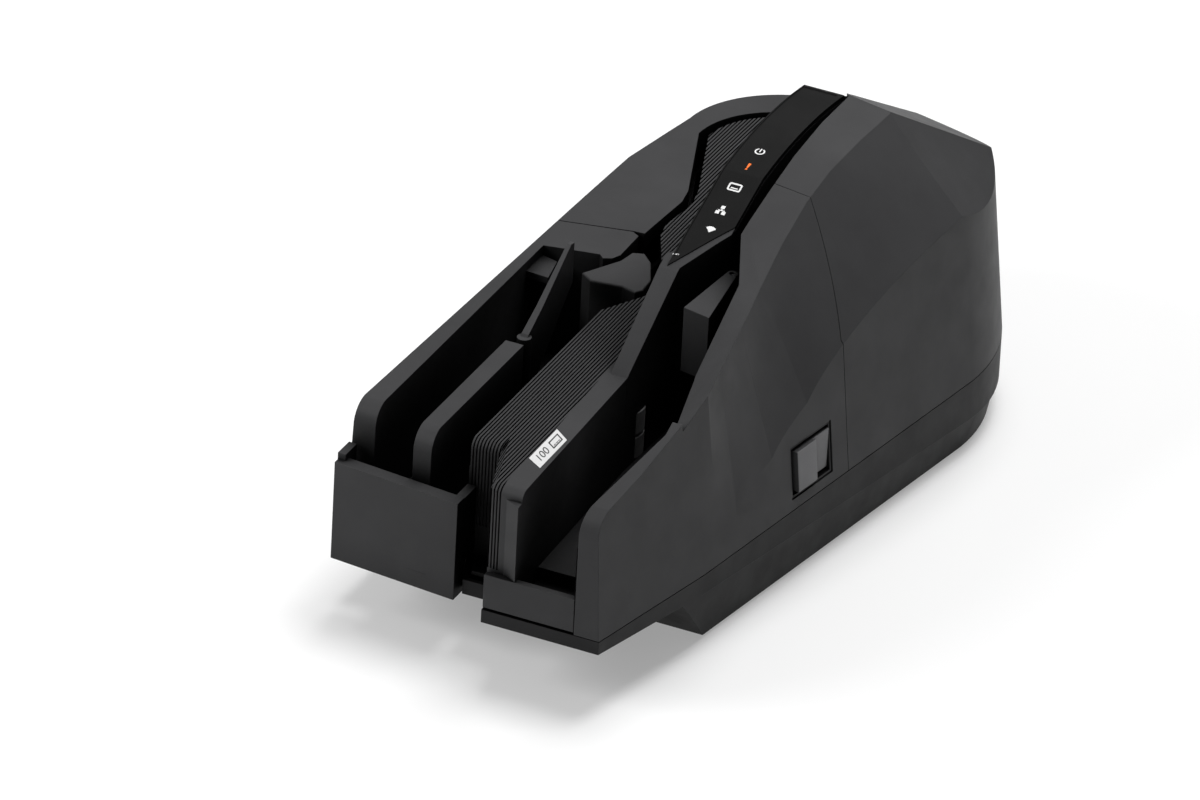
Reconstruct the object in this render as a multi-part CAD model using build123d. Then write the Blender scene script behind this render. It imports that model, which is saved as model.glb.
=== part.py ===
from build123d import *
from math import atan2, cos, hypot, radians, sin, sqrt
import os

os.makedirs("parts", exist_ok=True)

# Cheque scanner: a desktop scanner with a front hopper, a U-shaped paper path round a centre island and
# two pockets beside the hopper. Millimetres, +X right, +Y to the rear, +Z up. The working frame has its
# zero at the bottom front right corner of the base; every node is moved to the middle of the footprint,
# on the table, when it is written.

# ---- overall outline of the casing, in plan ----
LEFT_X = -146.0            # outside of the pocket wall at the base seam
LEFT_REAR = (-138.0, 291.0)        # where the left side starts to turn
LEFT_CORNER_FRONT = (-127.0, 362.0)
LEFT_CORNER_MIDDLE = (-115.0, 394.0)
LEFT_CORNER_REAR = (-88.0, 412.0)
FRONT_RIGHT_X = 0.5        # right front corner at the base seam
BEND_Y = 78.0              # the right side bends here, beside the hopper
BEND_X = 16.5
SIDE_SPLAY = 0.148         # right side: outward mm for each mm to the rear, behind the bend
SIDE_LEAN = 0.10           # right side: inward mm for each mm up
TAIL_X, TAIL_Y, TAIL_R = -53.0, 311.0, 103.0   # the round tail, centre and radius at the base seam
TAIL_START_Y = 300.0
FRONT_LEAN = 0.062         # lean of the side in front of the bend

# ---- heights ----
FOOT_HEIGHT = 2.0
BASE_BOTTOM = -30.0
FLOOR_Z = BASE_BOTTOM - FOOT_HEIGHT    # the table
CHIN_SLOPE = 0.047         # the underside of the base band falls this much for each mm to the rear
SEAM_Z = 6.5               # top edge of the base
SEAM_GAP = 0.4             # visible joint between two casing parts
LOW_TOP = 69.0             # level of the pocket walls, island and left cover
SAG_START_Y = 250.0        # behind this the low top falls away on a long arc
SAG_RADIUS = 4000.0
DECK_BOTTOM, DECK_TOP = 8.0, 10.0
GUIDE_TOP = 46.0           # top of the rollers' zone and of the outer path guide
BRIDGE_BOTTOM, BRIDGE_TOP = 50.0, 52.0

# ---- casing ----
WALL = 2.5
LIP = 8.0                  # depth of the covers' lips beside the paper slot
FIT = 0.3                  # gap between separate bodies
SEAT = 0.1                 # gap under a part that stands on the deck

# ---- paper path ----
SLOT_RIGHT_X = -30.7       # island face of the path, right leg
GUIDE_RIGHT_X = -25.4      # outer face of the path, right leg
TURN_X, TURN_Y = -72.0, 350.0
TURN_R = 40.0              # island end of the U-turn
TURN_GAP = 5.0             # width of the path in the turn
GUIDE_WALL = 2.0

# ---- hump: height and width of the right side at stations along Y ----
# (y, crease height, rim x, rim height, tilt of the top towards the slot)
HUMP = [
    (BEND_Y, 7.0, 10.5, 91.6, 0.0),
    (105.0, 24.0, 6.5, 96.8, 0.0),
    (135.0, 40.0, 2.5, 102.6, 0.0),
    (165.0, 55.0, -1.4, 108.8, 0.0),
    (195.0, 71.0, -5.0, 115.6, 0.0),
    (225.0, 80.5, -7.0, 122.2, 0.06),
    (250.0, 86.0, -7.0, 126.2, 0.14),
    (280.0, 90.5, -5.6, 128.4, 0.18),
    (312.0, 94.0, -4.0, 128.6, 0.14),
    (430.0, 96.0, 4.0, 128.6, 0.14),
]
FRONT_RIM = (-2.9, 68.0)   # rim x and height at the front end
SHOULDER_R = 10.0          # rounding of the front top corners
CORNER_FACET_POINT = (-4.0, 312.0, 128.0)
CORNER_FACET_NORMAL = (1.249, 0.292, 1.442)
TAIL_SLOPE_POINT = (-25.0, 312.0, 131.0)
TAIL_SLOPE_NORMAL = (0.143, 0.596, 1.0)
TAIL_FALL = 0.596          # the same slope in side view, for the spine

# ---- joint line between the front right housing and the rear right cover, in side view ----
SEAM_SIDE_Y = 196.0
SEAM_KINK_Z = 73.0
SEAM_TOP_Y, SEAM_TOP_Z = 228.0, 122.0

# ---- hopper ----
HOPPER_LEFT_FRONT_X, HOPPER_LEFT_X = -42.2, -46.4
RAMP_START_Y = 122.0       # the spine rises from the island here
THROAT_Y = 195.0
HOPPER_WALL = [(-12.0, 0.0), (2.2, 58.0), (1.6, 68.0), (-9.6, 115.0), (-12.0, 164.0),
               (GUIDE_RIGHT_X, 194.0)]
RIM_BEND_Y = 66.0          # behind this the top of the hopper's wall slopes into the hopper
# (y, rim x, rim height, rise of the top from the hopper to the rim)
RIM_SLOPE = [(60.0, 10.5, 85.9, 0.87), (112.0, 6.0, 98.2, 0.98), (165.0, -1.4, 108.9, 0.15), (260.0, -1.4, 140.0, 0.15)]
HOPPER_FLOOR_Z, HOPPER_ENTRY_Z, HOPPER_STEP_Y = 20.0, 13.0, 26.0
SILL_Z = 25.0
PANEL_LEFT_X, PANEL_RIGHT_X, PANEL_POST_X = -57.5, -8.5, -12.6
PANEL_POST_Z = 51.5
PANEL_THICKNESS = 3.5

# ---- spine (the raised ridge of the island): side profile ----
SPINE = [(RAMP_START_Y, LOW_TOP), (170.0, 101.5), (190.0, 110.5), (228.0, 125.5)]
SPINE_CREST = (258.0, 129.3)
SPINE_REAR = (318.0, 126.5)
SPINE_LEFT_X, SPINE_FRONT_LEFT_X = -51.3, -54.7
STRIP_FRONT_Y, STRIP_REAR_Y = 183.0, 317.5
STRIP_LEFT_FRONT_Y = 171.0
BEZEL_THICKNESS, GLASS_THICKNESS, BEZEL_PROUD = 2.0, 1.4, 0.5
RIM_WIDTH, LEFT_RIM_WIDTH = 2.6, 1.0

# ---- ribs on the island ----
RIB_PITCH = 1.61
RIB_GROOVE, RIB_DEPTH = 0.75, 0.8
RIB_FOOT_Z = 26.0
ISLAND_LEFT_X = -84.0
ISLAND_FRONT_LEFT_Y = 37.0
ISLAND_NOSE_X = -58.5
ISLAND_FRONT_Y = 4.2
ISLAND_ROUND = 5.0

# ---- pockets ----
POCKET_FRONT_Y = 40.0
POCKET_WALL_X = -132.8     # inner face of the outer pocket wall
POCKET_FLOOR_Z = 12.8
DIVIDER_LEFT_X, DIVIDER_RIGHT_X = -109.4, -100.4
DIVIDER_SHORT_Y, DIVIDER_LONG_Y = 128.0, 155.0
FLAP_PIVOT = (-103.4, 133.0)
FLAP_TIP_Y, FLAP_TIP_Z = 184.0, 92.0
TRAY_TOP, TRAY_BOTTOM = 46.5, -3.5
TRAY_LEFT_X, TRAY_RIGHT_X = -144.5, -79.7
TRAY_LEFT_Y, TRAY_RIGHT_Y = 23.0, 16.6
TRAY_WALL = 3.0
TRAY_TRAVEL = 30.0

# ---- drive ----
DRIVE_R = 12.0             # rubber drive rollers
PINCH_R = 8.0
RETARD_R = 7.0
NIP = 0.35                 # gap between a drive roller and its pinch roller
SHAFT_R = 3.0
PIN_R = 2.0
BUSH_R = 5.0
RUNNING = 0.05             # radial running clearance on a shaft
PULLEY_R, PULLEY_LOW, PULLEY_HIGH = 7.0, -2.0, 4.0
BELT_GAP, BELT_THICKNESS = 0.1, 1.2
TYRE_LOW, TYRE_HIGH = 20.4, 44.0
PICK = (-57.4, 140.0)
FEED = (-42.0, 196.8)
TRANSPORT = (-41.0, 290.0)
TURN = (TURN_X, 379.0)
EXIT = (-79.0, 285.0)
MOTOR = (-33.0, 235.0)
DRIVE_POINTS = [PICK, FEED, TRANSPORT, TURN, EXIT]
RETARD_ANGLE = -25.0       # the retard roller sits this far towards the front, seen from the feed roller
RETARD = (FEED[0] + (DRIVE_R + NIP + RETARD_R) * cos(radians(RETARD_ANGLE)),
          FEED[1] + (DRIVE_R + NIP + RETARD_R) * sin(radians(RETARD_ANGLE)))
PINCH_RIGHT = (TRANSPORT[0] + DRIVE_R + NIP + PINCH_R, TRANSPORT[1])
PINCH_REAR = (TURN[0], TURN[1] + DRIVE_R + NIP + PINCH_R)
PINCH_LEFT = (EXIT[0] - DRIVE_R - NIP - PINCH_R, EXIT[1])

# ---- cover hinges, at the rear beside the spine ----
COLLAR_R = PIN_R + 0.5      # foot of an idler pin
HINGE_PIN_R = 1.5
BARREL_R = 3.2
RIGHT_HINGE = (-27.3, 409.0)
LEFT_HINGE = (-54.9, 410.5)

# ---- placing: middle of the footprint, on the table ----
RIGHT_X = TAIL_X + TAIL_R
REAR_Y = TAIL_Y + TAIL_R
PLACE = Pos(-(LEFT_X + RIGHT_X) / 2, -REAR_Y / 2, -FLOOR_Z)
FAR = 600.0


# ---- basic shapes ----
def slab(points, low, high):
    face = make_face(Polyline(*[(x, y, low) for x, y in points], close=True))
    return extrude(face, high - low, dir=(0, 0, 1))


def side_slab(points, left, right):
    face = make_face(Polyline(*[(left, y, z) for y, z in points], close=True))
    return extrude(face, right - left, dir=(1, 0, 0))


def front_slab(points, front, back):
    face = make_face(Polyline(*[(x, front, z) for x, z in points], close=True))
    return extrude(face, back - front, dir=(0, 1, 0))


def block(x, y, z):
    size = (x[1] - x[0], y[1] - y[0], z[1] - z[0])
    return Pos(x[0], y[0], z[0]) * Box(*size, align=(Align.MIN, Align.MIN, Align.MIN))


def post(centre, low, high, radius):
    return Pos(centre[0], centre[1], (low + high) / 2) * Cylinder(radius, high - low)


def sleeve(centre, low, high, radius, bore):
    return post(centre, low, high, radius) - post(centre, low - 1, high + 1, bore)


def beyond(point, normal):
    """Everything on the outer side of a plane, to cut away."""
    return Plane(origin=point, z_dir=normal) * Pos(0, 0, FAR / 2) * Box(2 * FAR, 2 * FAR, FAR)


def shrink(face, amount):
    return offset(face, -amount, kind=Kind.INTERSECTION)


def region(points, z=0.0):
    return make_face(Polyline(*[(x, y, z) for x, y in points], close=True))


def inset(points, amount):
    """The polygon's corners with every side moved inwards by amount."""
    area = sum(a[0] * b[1] - b[0] * a[1] for a, b in zip(points, points[1:] + points[:1]))
    turn = 1 if area > 0 else -1
    result = []
    for before, here, after in zip(points[-1:] + points[:-1], points, points[1:] + points[:1]):
        first = hypot(here[0] - before[0], here[1] - before[1])
        second = hypot(after[0] - here[0], after[1] - here[1])
        ax, ay = (here[0] - before[0]) / first, (here[1] - before[1]) / first
        bx, by = (after[0] - here[0]) / second, (after[1] - here[1]) / second
        nx, ny = -(ay + by) * turn, (ax + bx) * turn
        share = amount * 2 / (nx * nx + ny * ny)
        result.append((here[0] + nx * share, here[1] + ny * share))
    return result


def raise_face(face, low, high):
    return extrude(Pos(0, 0, low) * face, high - low, dir=(0, 0, 1))


def save(name, *solids):
    """Write one node, moved to its place on the table."""
    pieces = []
    for solid in solids:
        pieces += (PLACE * solid).solids()
    export_step(Compound(children=pieces), f"parts/{name}.step")


# ---- the casing's outline and envelopes ----
def side_x(y):
    """Right side of the casing at the base seam."""
    return BEND_X + SIDE_SPLAY * (y - BEND_Y)


def tail_point(angle):
    return TAIL_X + TAIL_R * cos(radians(angle)), TAIL_Y + TAIL_R * sin(radians(angle))


TAIL_ANGLE = -6.1
CHIN_POINTS = [(LEFT_X, 38.0), (-84.0, 38.0), (-77.0, 20.0), (-60.0, 20.0), (-58.0, 0.0),
               (FRONT_RIGHT_X, 0.0), (BEND_X, BEND_Y)]


def outline(front_points=CHIN_POINTS):
    """Plan of the casing at the base seam."""
    tail_start = (side_x(TAIL_START_Y), TAIL_START_Y)
    right = Polyline(*front_points, tail_start)
    tail = ThreePointArc(tail_start, tail_point(45), (TAIL_X, REAR_Y))
    rear = Polyline((TAIL_X, REAR_Y), LEFT_CORNER_REAR)
    corner = ThreePointArc(LEFT_CORNER_REAR, LEFT_CORNER_MIDDLE, LEFT_CORNER_FRONT)
    left = Polyline(LEFT_CORNER_FRONT, LEFT_REAR, front_points[0])
    return make_face([right, tail, rear, corner, left])


def low_top(inset):
    """Everything under the low top level, which falls away towards the rear."""
    top = LOW_TOP - inset
    end_y = REAR_Y + 20
    middle_y = (SAG_START_Y + end_y) / 2
    sag = lambda y: top - (y - SAG_START_Y) ** 2 / (2 * SAG_RADIUS)
    lines = Polyline((0, end_y, sag(end_y)), (0, end_y, -60), (0, -40, -60), (0, -40, top),
                     (0, SAG_START_Y, top))
    arc = ThreePointArc((0, SAG_START_Y, top), (0, middle_y, sag(middle_y)), (0, end_y, sag(end_y)))
    return Pos(-FAR / 2, 0, 0) * extrude(make_face([lines, arc]), FAR, dir=(1, 0, 0))


def hump_section(y, crease_z, rim_x, rim_z, tilt, inset):
    """Cross-section of the hump: outer side line through crease and rim, and the tilted top."""
    crease_x = side_x(y) - SIDE_LEAN * (crease_z - SEAM_Z)
    lean = (crease_x - rim_x) / (rim_z - crease_z)
    across = inset * sqrt(1 + lean ** 2)
    left = (across - lean * inset) / (1 - lean * tilt)
    x, z = rim_x - left, rim_z - inset + tilt * left
    low, inner_x = -20.0, -70.0
    points = [(inner_x, low), (x + lean * (z - low), low), (x, z), (inner_x, z + tilt * (x - inner_x))]
    return Wire.make_polygon([(px, y, pz) for px, pz in points], close=True)


def front_section(y, inset):
    """Cross-section in front of the bend, where the side is one plane."""
    share = y / BEND_Y
    rim_x = FRONT_RIM[0] + share * (HUMP[0][2] - FRONT_RIM[0])
    rim_z = FRONT_RIM[1] + share * (HUMP[0][3] - FRONT_RIM[1])
    foot_x = FRONT_RIGHT_X + share * (BEND_X - FRONT_RIGHT_X)
    lean = (foot_x - rim_x) / (rim_z - SEAM_Z)
    low, inner_x = -20.0, -70.0
    x, z = rim_x - inset * (1 - lean), rim_z - inset
    points = [(inner_x, low), (x + lean * (z - low), low), (x, z), (inner_x, z)]
    return Wire.make_polygon([(px, y, pz) for px, pz in points], close=True)


def right_envelope(inset):
    """The tall right side of the casing, drawn in by inset on every face."""
    front = Solid.make_loft([front_section(-5.0, inset), front_section(BEND_Y, inset)], True)
    hump = Solid.make_loft([hump_section(*row, inset) for row in HUMP], True)
    body = Part() + front + hump
    straight = block((-70, 80), (-10, TAIL_START_Y), (-20, 140))
    height = 160.0
    bottom_r = TAIL_R - inset + SIDE_LEAN * (SEAM_Z + 20)
    cone = Solid.make_cone(bottom_r, bottom_r - SIDE_LEAN * height, height,
                           Plane(origin=(TAIL_X, TAIL_Y, -20)))
    body = body & (straight + cone)
    side_normal = Vector(1, -SIDE_SPLAY, SIDE_LEAN).normalized()
    body -= beyond(Vector(BEND_X, BEND_Y, SEAM_Z) - side_normal * inset, side_normal)
    for point, normal in ((CORNER_FACET_POINT, CORNER_FACET_NORMAL), (TAIL_SLOPE_POINT, TAIL_SLOPE_NORMAL)):
        direction = Vector(*normal).normalized()
        body -= beyond(Vector(*point) - direction * inset, direction)
    return body


def rounded_front(front_y, top, radius, slope=0.0):
    """Everything behind a front face whose top edge is rounded, in side view."""
    far_y = REAR_Y + 50
    lines = Polyline((0, front_y, top - radius), (0, front_y, -60), (0, far_y, -60),
                     (0, far_y, top + slope * (far_y - front_y)),
                     (0, front_y + radius, top + slope * radius))
    arc = ThreePointArc((0, front_y + radius, top + slope * radius),
                        (0, front_y + 0.3 * radius, top - 0.3 * radius + slope * radius * 0.4),
                        (0, front_y, top - radius))
    return Pos(-FAR / 2, 0, 0) * extrude(make_face([lines, arc]), FAR, dir=(1, 0, 0))


# ---- base: a band under the seam and a tapered tub on the table ----
TUB_INSET = 4.0            # the tub is this much narrower at its foot
TUB_FRONT_Y, TUB_FOOT_Y = 62.0, 86.0
CREASE_Z = -3.0            # crease between band and tub where the side bends
TRAY_SLOT = ((-129.0, -87.0), (1.5, 5.5))
BAY = ((-90.0, -30.0), (-15.5, 3.0))   # recess for the sockets in the rear wall, x and z
BAY_Y = 408.0
BOSSES = [(-139.2, 70), (-108, 230), (8.4, 70), (20, 230), (20, 300), (-124, 338), (-74, 60), (-8, 382)]
BOSS_R, SPIGOT_R, SCREW_R, SCREW_HEAD_R, SCREW_HEAD = 5.0, 2.9, 1.5, 2.8, 1.6
FEET = [(-118, 108), (-2, 106), (26, 262), (-112, 350), (-30, 384)]
FOOT_R = 7.0
BOARD = ((-126.0, -94.0), (246.0, 326.0))
BOARD_Z, BOARD_THICKNESS = -18.0, 1.6
MOTOR_R, MOTOR_LOW, MOTOR_HIGH = 15.0, -27.3, -8.0


def casing_plan(inset):
    return shrink(outline(), inset) if inset else outline()


def base_body(inset, top):
    plan = casing_plan(inset)
    band = raise_face(plan, -26.0, top) - beyond((0, 0, inset), (0, -CHIN_SLOPE, -1))
    foot = BASE_BOTTOM + inset
    tub = raise_face(plan, foot, CREASE_Z + inset)
    rise = CREASE_Z - BASE_BOTTOM
    front = Vector(0, -rise, TUB_FRONT_Y - TUB_FOOT_Y).normalized()
    right = Vector(rise, -SIDE_SPLAY * rise, -TUB_INSET).normalized()
    left = Vector(-rise, 0, -TUB_INSET).normalized()
    for point, normal in (((0, TUB_FRONT_Y, CREASE_Z), front), ((BEND_X, BEND_Y, CREASE_Z), right),
                          ((LEFT_X, 0, CREASE_Z), left)):
        tub -= beyond(Vector(*point) - normal * inset, normal)
    height = 40.0
    slope = TUB_INSET / (rise - 6)
    foot_r = TAIL_R - inset - TUB_INSET
    cone = Solid.make_cone(foot_r, foot_r + slope * height, height,
                           Plane(origin=(TAIL_X, TAIL_Y, BASE_BOTTOM)))
    straight = block((-FAR, FAR), (-FAR, TAIL_START_Y), (-60, 60))
    straight += block((-FAR, TAIL_X), (0, FAR), (-60, 60))
    return band + (tub & (straight + cone))


base = base_body(0.0, SEAM_Z) - base_body(WALL, SEAM_Z + 5)
casing_zone = raise_face(casing_plan(WALL / 2), -60, 60)
bay_wall = block((BAY[0][0] - WALL, BAY[0][1] + WALL), (BAY_Y - WALL, BAY_Y + 4), (BAY[1][0] - WALL, SEAM_Z))
base += bay_wall & base_body(0.0, SEAM_Z)
base -= block(BAY[0], (BAY_Y, BAY_Y + 30), BAY[1])
for x, y in BOSSES:
    boss_foot = BASE_BOTTOM + WALL - 0.5 if y > TUB_FOOT_Y + BOSS_R else -CHIN_SLOPE * y + WALL - 1.0
    base += post((x, y), boss_foot, SEAM_Z - 0.5, BOSS_R) & casing_zone
    base += post((x, y), boss_foot, DECK_BOTTOM - SEAT, SPIGOT_R)
for x, y in BOSSES:
    base -= post((x, y), DECK_BOTTOM - 8.2, DECK_BOTTOM + 1, SCREW_R)
for x in (BOARD[0][0] + 4, BOARD[0][1] - 4):
    for y in (BOARD[1][0] + 5, BOARD[1][1] - 5):
        base += post((x, y), BASE_BOTTOM + WALL - 0.5, BOARD_Z - 0.05, 3.0)
base -= block(TRAY_SLOT[0], (30, 60), (TRAY_SLOT[1][0], SEAM_Z + 2))
save("base_pan", base)
save("rubber_feet", *[post(spot, FLOOR_Z, BASE_BOTTOM, FOOT_R) for spot in FEET])
save("main_board", block(BOARD[0], BOARD[1], (BOARD_Z, BOARD_Z + BOARD_THICKNESS)))

# ---- deck: carries the guides, rollers and pockets ----
deck_inset = WALL + 1.2
deck = raise_face(casing_plan(deck_inset), DECK_BOTTOM, DECK_TOP)
for point in DRIVE_POINTS:
    deck -= post(point, DECK_BOTTOM - 1, DECK_TOP + 1, BUSH_R)
IDLERS = [RETARD, PINCH_RIGHT, PINCH_REAR, PINCH_LEFT]
for point in IDLERS:
    deck -= post(point, DECK_BOTTOM - 1, DECK_TOP + 1, PIN_R)
for point in BOSSES:
    deck -= post(point, DECK_BOTTOM - 1, DECK_TOP + 1, SCREW_R)
TONGUE_X = (TRAY_SLOT[0][0] + 1.5, TRAY_SLOT[0][1] - 1.5)
TONGUE_Z = (2.5, 4.8)
for edge, inner in ((TONGUE_X[0], 3.0), (TONGUE_X[1], -3.0)):
    out = -1.0 if inner > 0 else 1.0
    wall_x = sorted((edge + 0.3 * out, edge + 1.8 * out))
    lip_x = sorted((edge + inner, edge + 1.8 * out))
    deck += block(wall_x, (44, 118), (0.4, DECK_BOTTOM + 0.5))
    deck += block(lip_x, (44, 118), (0.4, TONGUE_Z[0] - FIT))
save("deck_plate", deck)
save("deck_screws", *[post(p, DECK_TOP, DECK_TOP + SCREW_HEAD, SCREW_HEAD_R)
                      + post(p, DECK_BOTTOM - 7.5, DECK_TOP + 0.5, SCREW_R - RUNNING) for p in BOSSES])

# ---- joint surface between the front right housing and the rear right cover ----
seam_line = [(SEAM_SIDE_Y, -60), (SEAM_SIDE_Y, SEAM_KINK_Z), (SEAM_TOP_Y, SEAM_TOP_Z),
             (SEAM_TOP_Y + 14, SEAM_TOP_Z + 22)]


def in_front_of_seam(setback):
    points = [(y - setback, z) for y, z in seam_line] + [(-60, SEAM_TOP_Z + 22), (-60, -60)]
    return side_slab(points, -FAR / 2, FAR / 2)


def behind_seam(setback):
    points = [(y + setback, z) for y, z in seam_line] + [(FAR, SEAM_TOP_Z + 22), (FAR, -60)]
    return side_slab(points, -FAR / 2, FAR / 2)


CASING_FOOT = SEAM_Z + SEAM_GAP
DECK_ZONE = raise_face(casing_plan(deck_inset - FIT), CASING_FOOT - 5, DECK_TOP + SEAT)
ABOVE_BASE = block((-FAR, FAR), (-FAR, FAR), (CASING_FOOT, 200)) - DECK_ZONE


# ---- front right housing: the hopper's outer wall ----
def hopper_side(thickness):
    points = HOPPER_WALL + [(GUIDE_RIGHT_X, 250), (120, 250), (120, 0)]
    return slab(inset(points, thickness), -40, 200)


def rim_slope_section(y, rim_x, rim_z, slope, thickness):
    """Cross-section of what lies above the top of the hopper's wall."""
    drop = thickness * sqrt(1 + slope ** 2)
    left_x, right_x, high = -60.0, rim_x + 30.0, 220.0
    points = [(left_x, rim_z - drop + slope * (left_x - rim_x)), (right_x, rim_z - drop + slope * (right_x - rim_x)),
              (right_x, high), (left_x, high)]
    return Wire.make_polygon([(x, y, z) for x, z in points], close=True)


def front_right_body(thickness):
    body = right_envelope(thickness) & hopper_side(thickness)
    rows = [rim_slope_section(*row, thickness) for row in RIM_SLOPE]
    body -= Solid.make_loft(rows, True) & block((-60, 60), (RIM_BEND_Y + thickness, 320), (0, 200))
    body = body & in_front_of_seam(SEAM_GAP / 2 + thickness)
    return body & rounded_front(thickness, FRONT_RIM[1] - thickness, SHOULDER_R - thickness, 0.32)


LEVER_RECESS_Y, LEVER_RECESS_Z = (150.0, 183.5), (12.0, 38.5)
PUSHER_AXIS = (-24.6, 185.0)
PUSHER_LUGS = [(57.0, 61.0), (90.0, 94.0)]
PUSHER_PIN_R = 1.5
LUG_R = 3.0

housing = front_right_body(0.0) & ABOVE_BASE
housing -= front_right_body(WALL)
lever_opening = block((5, 60), LEVER_RECESS_Y, LEVER_RECESS_Z)
housing -= lever_opening
retard_window = post(RETARD, TYRE_LOW - 1.2, TYRE_HIGH + 1.2, RETARD_R + 0.8)
housing -= retard_window
housing -= post(RETARD, 0, TYRE_HIGH + 4, COLLAR_R + 0.4)
for low, high in PUSHER_LUGS:
    lug = post(PUSHER_AXIS, low, high, LUG_R)
    lug += block((PUSHER_AXIS[0], PUSHER_AXIS[0] + 5.5), (PUSHER_AXIS[1] - LUG_R, PUSHER_AXIS[1] + LUG_R), (low, high))
    housing += lug
    housing -= post(PUSHER_AXIS, low - 1, high + 1, PUSHER_PIN_R)
save("front_right_housing", housing)

# ---- release lever in the side, on an upright pin ----
LEVER_PIVOT = (19.8, 155.6)
LEVER_PIN_R = 1.5
WELL_DEPTH = 13.0


def side_plane_x(y, z, inset):
    return side_x(y) - SIDE_LEAN * (z - SEAM_Z) - inset


well_inner = [(side_plane_x(y, LEVER_RECESS_Z[0], WELL_DEPTH), y) for y in LEVER_RECESS_Y]
well_front, well_back = LEVER_RECESS_Y[0] + FIT, LEVER_RECESS_Y[1] - FIT
well_low, well_high = LEVER_RECESS_Z[0] + FIT, LEVER_RECESS_Z[1] - FIT
WELL_WALL = 1.2


def well_block(inset, depth_inset):
    front, back = well_front + inset, well_back - inset
    left_front = side_plane_x(front, LEVER_RECESS_Z[0], WELL_DEPTH - depth_inset)
    left_back = side_plane_x(back, LEVER_RECESS_Z[0], WELL_DEPTH - depth_inset)
    return slab([(left_front, front), (60, front), (60, back), (left_back, back)],
                well_low + inset, well_high - inset)


side_normal = Vector(1, -SIDE_SPLAY, SIDE_LEAN).normalized()
side_origin = Vector(BEND_X, BEND_Y, SEAM_Z)
lever_well = well_block(0.0, 0.0) - well_block(WELL_WALL, WELL_WALL)
lever_well -= beyond(side_origin - side_normal * 0.6, side_normal)
lever_well -= post(LEVER_PIVOT, 0, 60, LEVER_PIN_R)
save("lever_well", lever_well)
save("lever_pin", post(LEVER_PIVOT, well_low + 0.1, well_high - 0.1, LEVER_PIN_R))

LEVER_LOW, LEVER_HIGH = LEVER_RECESS_Z[0] + 3.0, LEVER_RECESS_Z[1] - 3.0
lever_front, lever_back = well_front + WELL_WALL + 0.8, well_back - WELL_WALL - 0.8
grip_back = 168.5
lever = slab([(side_plane_x(lever_front, LEVER_LOW, 4.5), lever_front + 1),
              (side_plane_x(lever_front, LEVER_LOW, -2.5), lever_front + 1),
              (side_plane_x(grip_back, LEVER_LOW, -2.5), grip_back),
              (side_plane_x(grip_back, LEVER_LOW, 1.8), grip_back),
              (side_plane_x(lever_back, LEVER_LOW, 1.8), lever_back),
              (side_plane_x(lever_back, LEVER_LOW, 4.5), lever_back)], LEVER_LOW, LEVER_HIGH)
lever -= beyond(side_origin + side_normal * 1.6, side_normal)
lever += post(LEVER_PIVOT, LEVER_LOW, LEVER_HIGH, 3.0)
lever += slab([(LEVER_PIVOT[0] - 1, LEVER_PIVOT[1] - 2), (side_plane_x(155, LEVER_LOW, 2.5), 154.2),
               (side_plane_x(158, LEVER_LOW, 2.5), 158), (LEVER_PIVOT[0] - 1, LEVER_PIVOT[1] + 2.5)],
              LEVER_LOW, LEVER_HIGH)
lever -= post(LEVER_PIVOT, 0, 60, LEVER_PIN_R + RUNNING)
save("release_lever", lever)

# ---- hopper: pusher, floor and front panel ----
PUSHER_LOW, PUSHER_HIGH = 52.0, 99.0
PUSHER_PLAN = [(-30.6, 145.5), (-16.6, 142.5), (-21.9, 183.0), (-27.3, 185.0)]
pusher = slab(PUSHER_PLAN, PUSHER_LOW, PUSHER_HIGH)
pusher -= slab([(-28.6, 147.5), (-18.6, 145.0), (-22.6, 176.0), (-26.4, 178.0)], PUSHER_LOW - 1, PUSHER_HIGH - 2.0)
pusher -= side_slab([(120, 66), (146, 66), (176, 50), (176, 40), (120, 40)], -60, 0)
pusher += post(PUSHER_AXIS, PUSHER_LOW, PUSHER_HIGH, LUG_R - 0.2)
for low, high in PUSHER_LUGS:
    pusher -= post(PUSHER_AXIS, low - FIT, high + FIT, LUG_R + 1.0)
    pusher -= block((PUSHER_AXIS[0], PUSHER_AXIS[0] + 8), (PUSHER_AXIS[1] - LUG_R - 1.2, PUSHER_AXIS[1] + 6), (low - FIT, high + FIT))
pusher -= post(PUSHER_AXIS, 0, 200, PUSHER_PIN_R + RUNNING)
save("hopper_pusher", pusher)
save("pusher_pin", post(PUSHER_AXIS, PUSHER_LUGS[0][0] - 4, PUSHER_LUGS[1][1] + 4, PUSHER_PIN_R))


def hopper_left_x(y):
    share = min(max((y + 2) / 124, 0), 1)
    return HOPPER_LEFT_FRONT_X + share * (HOPPER_LEFT_X - HOPPER_LEFT_FRONT_X)


floor_points = [(hopper_left_x(3.8) + FIT, 3.8), (HOPPER_WALL[0][0] + 0.5, 3.8),
                (HOPPER_WALL[1][0] - FIT, HOPPER_WALL[1][1]), (HOPPER_WALL[2][0] - FIT, HOPPER_WALL[2][1]),
                (HOPPER_WALL[3][0] - FIT, HOPPER_WALL[3][1]), (HOPPER_WALL[4][0] - FIT, HOPPER_WALL[4][1]),
                (HOPPER_WALL[5][0] - FIT, HOPPER_WALL[5][1]), (GUIDE_RIGHT_X - FIT, 199),
                (SLOT_RIGHT_X + FIT, 199), (SLOT_RIGHT_X + FIT, THROAT_Y),
                (HOPPER_LEFT_X + 1.2 + FIT, 172), (HOPPER_LEFT_X + FIT, RAMP_START_Y)]
floor_plan = region(floor_points)
hopper_floor = raise_face(floor_plan, DECK_TOP + SEAT, HOPPER_FLOOR_Z)
hopper_floor -= block((-60, 10), (-10, HOPPER_STEP_Y), (HOPPER_ENTRY_Z, 40))
hopper_floor -= post(RETARD, 0, 60, COLLAR_R + 0.5)
save("hopper_floor", hopper_floor)

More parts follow.
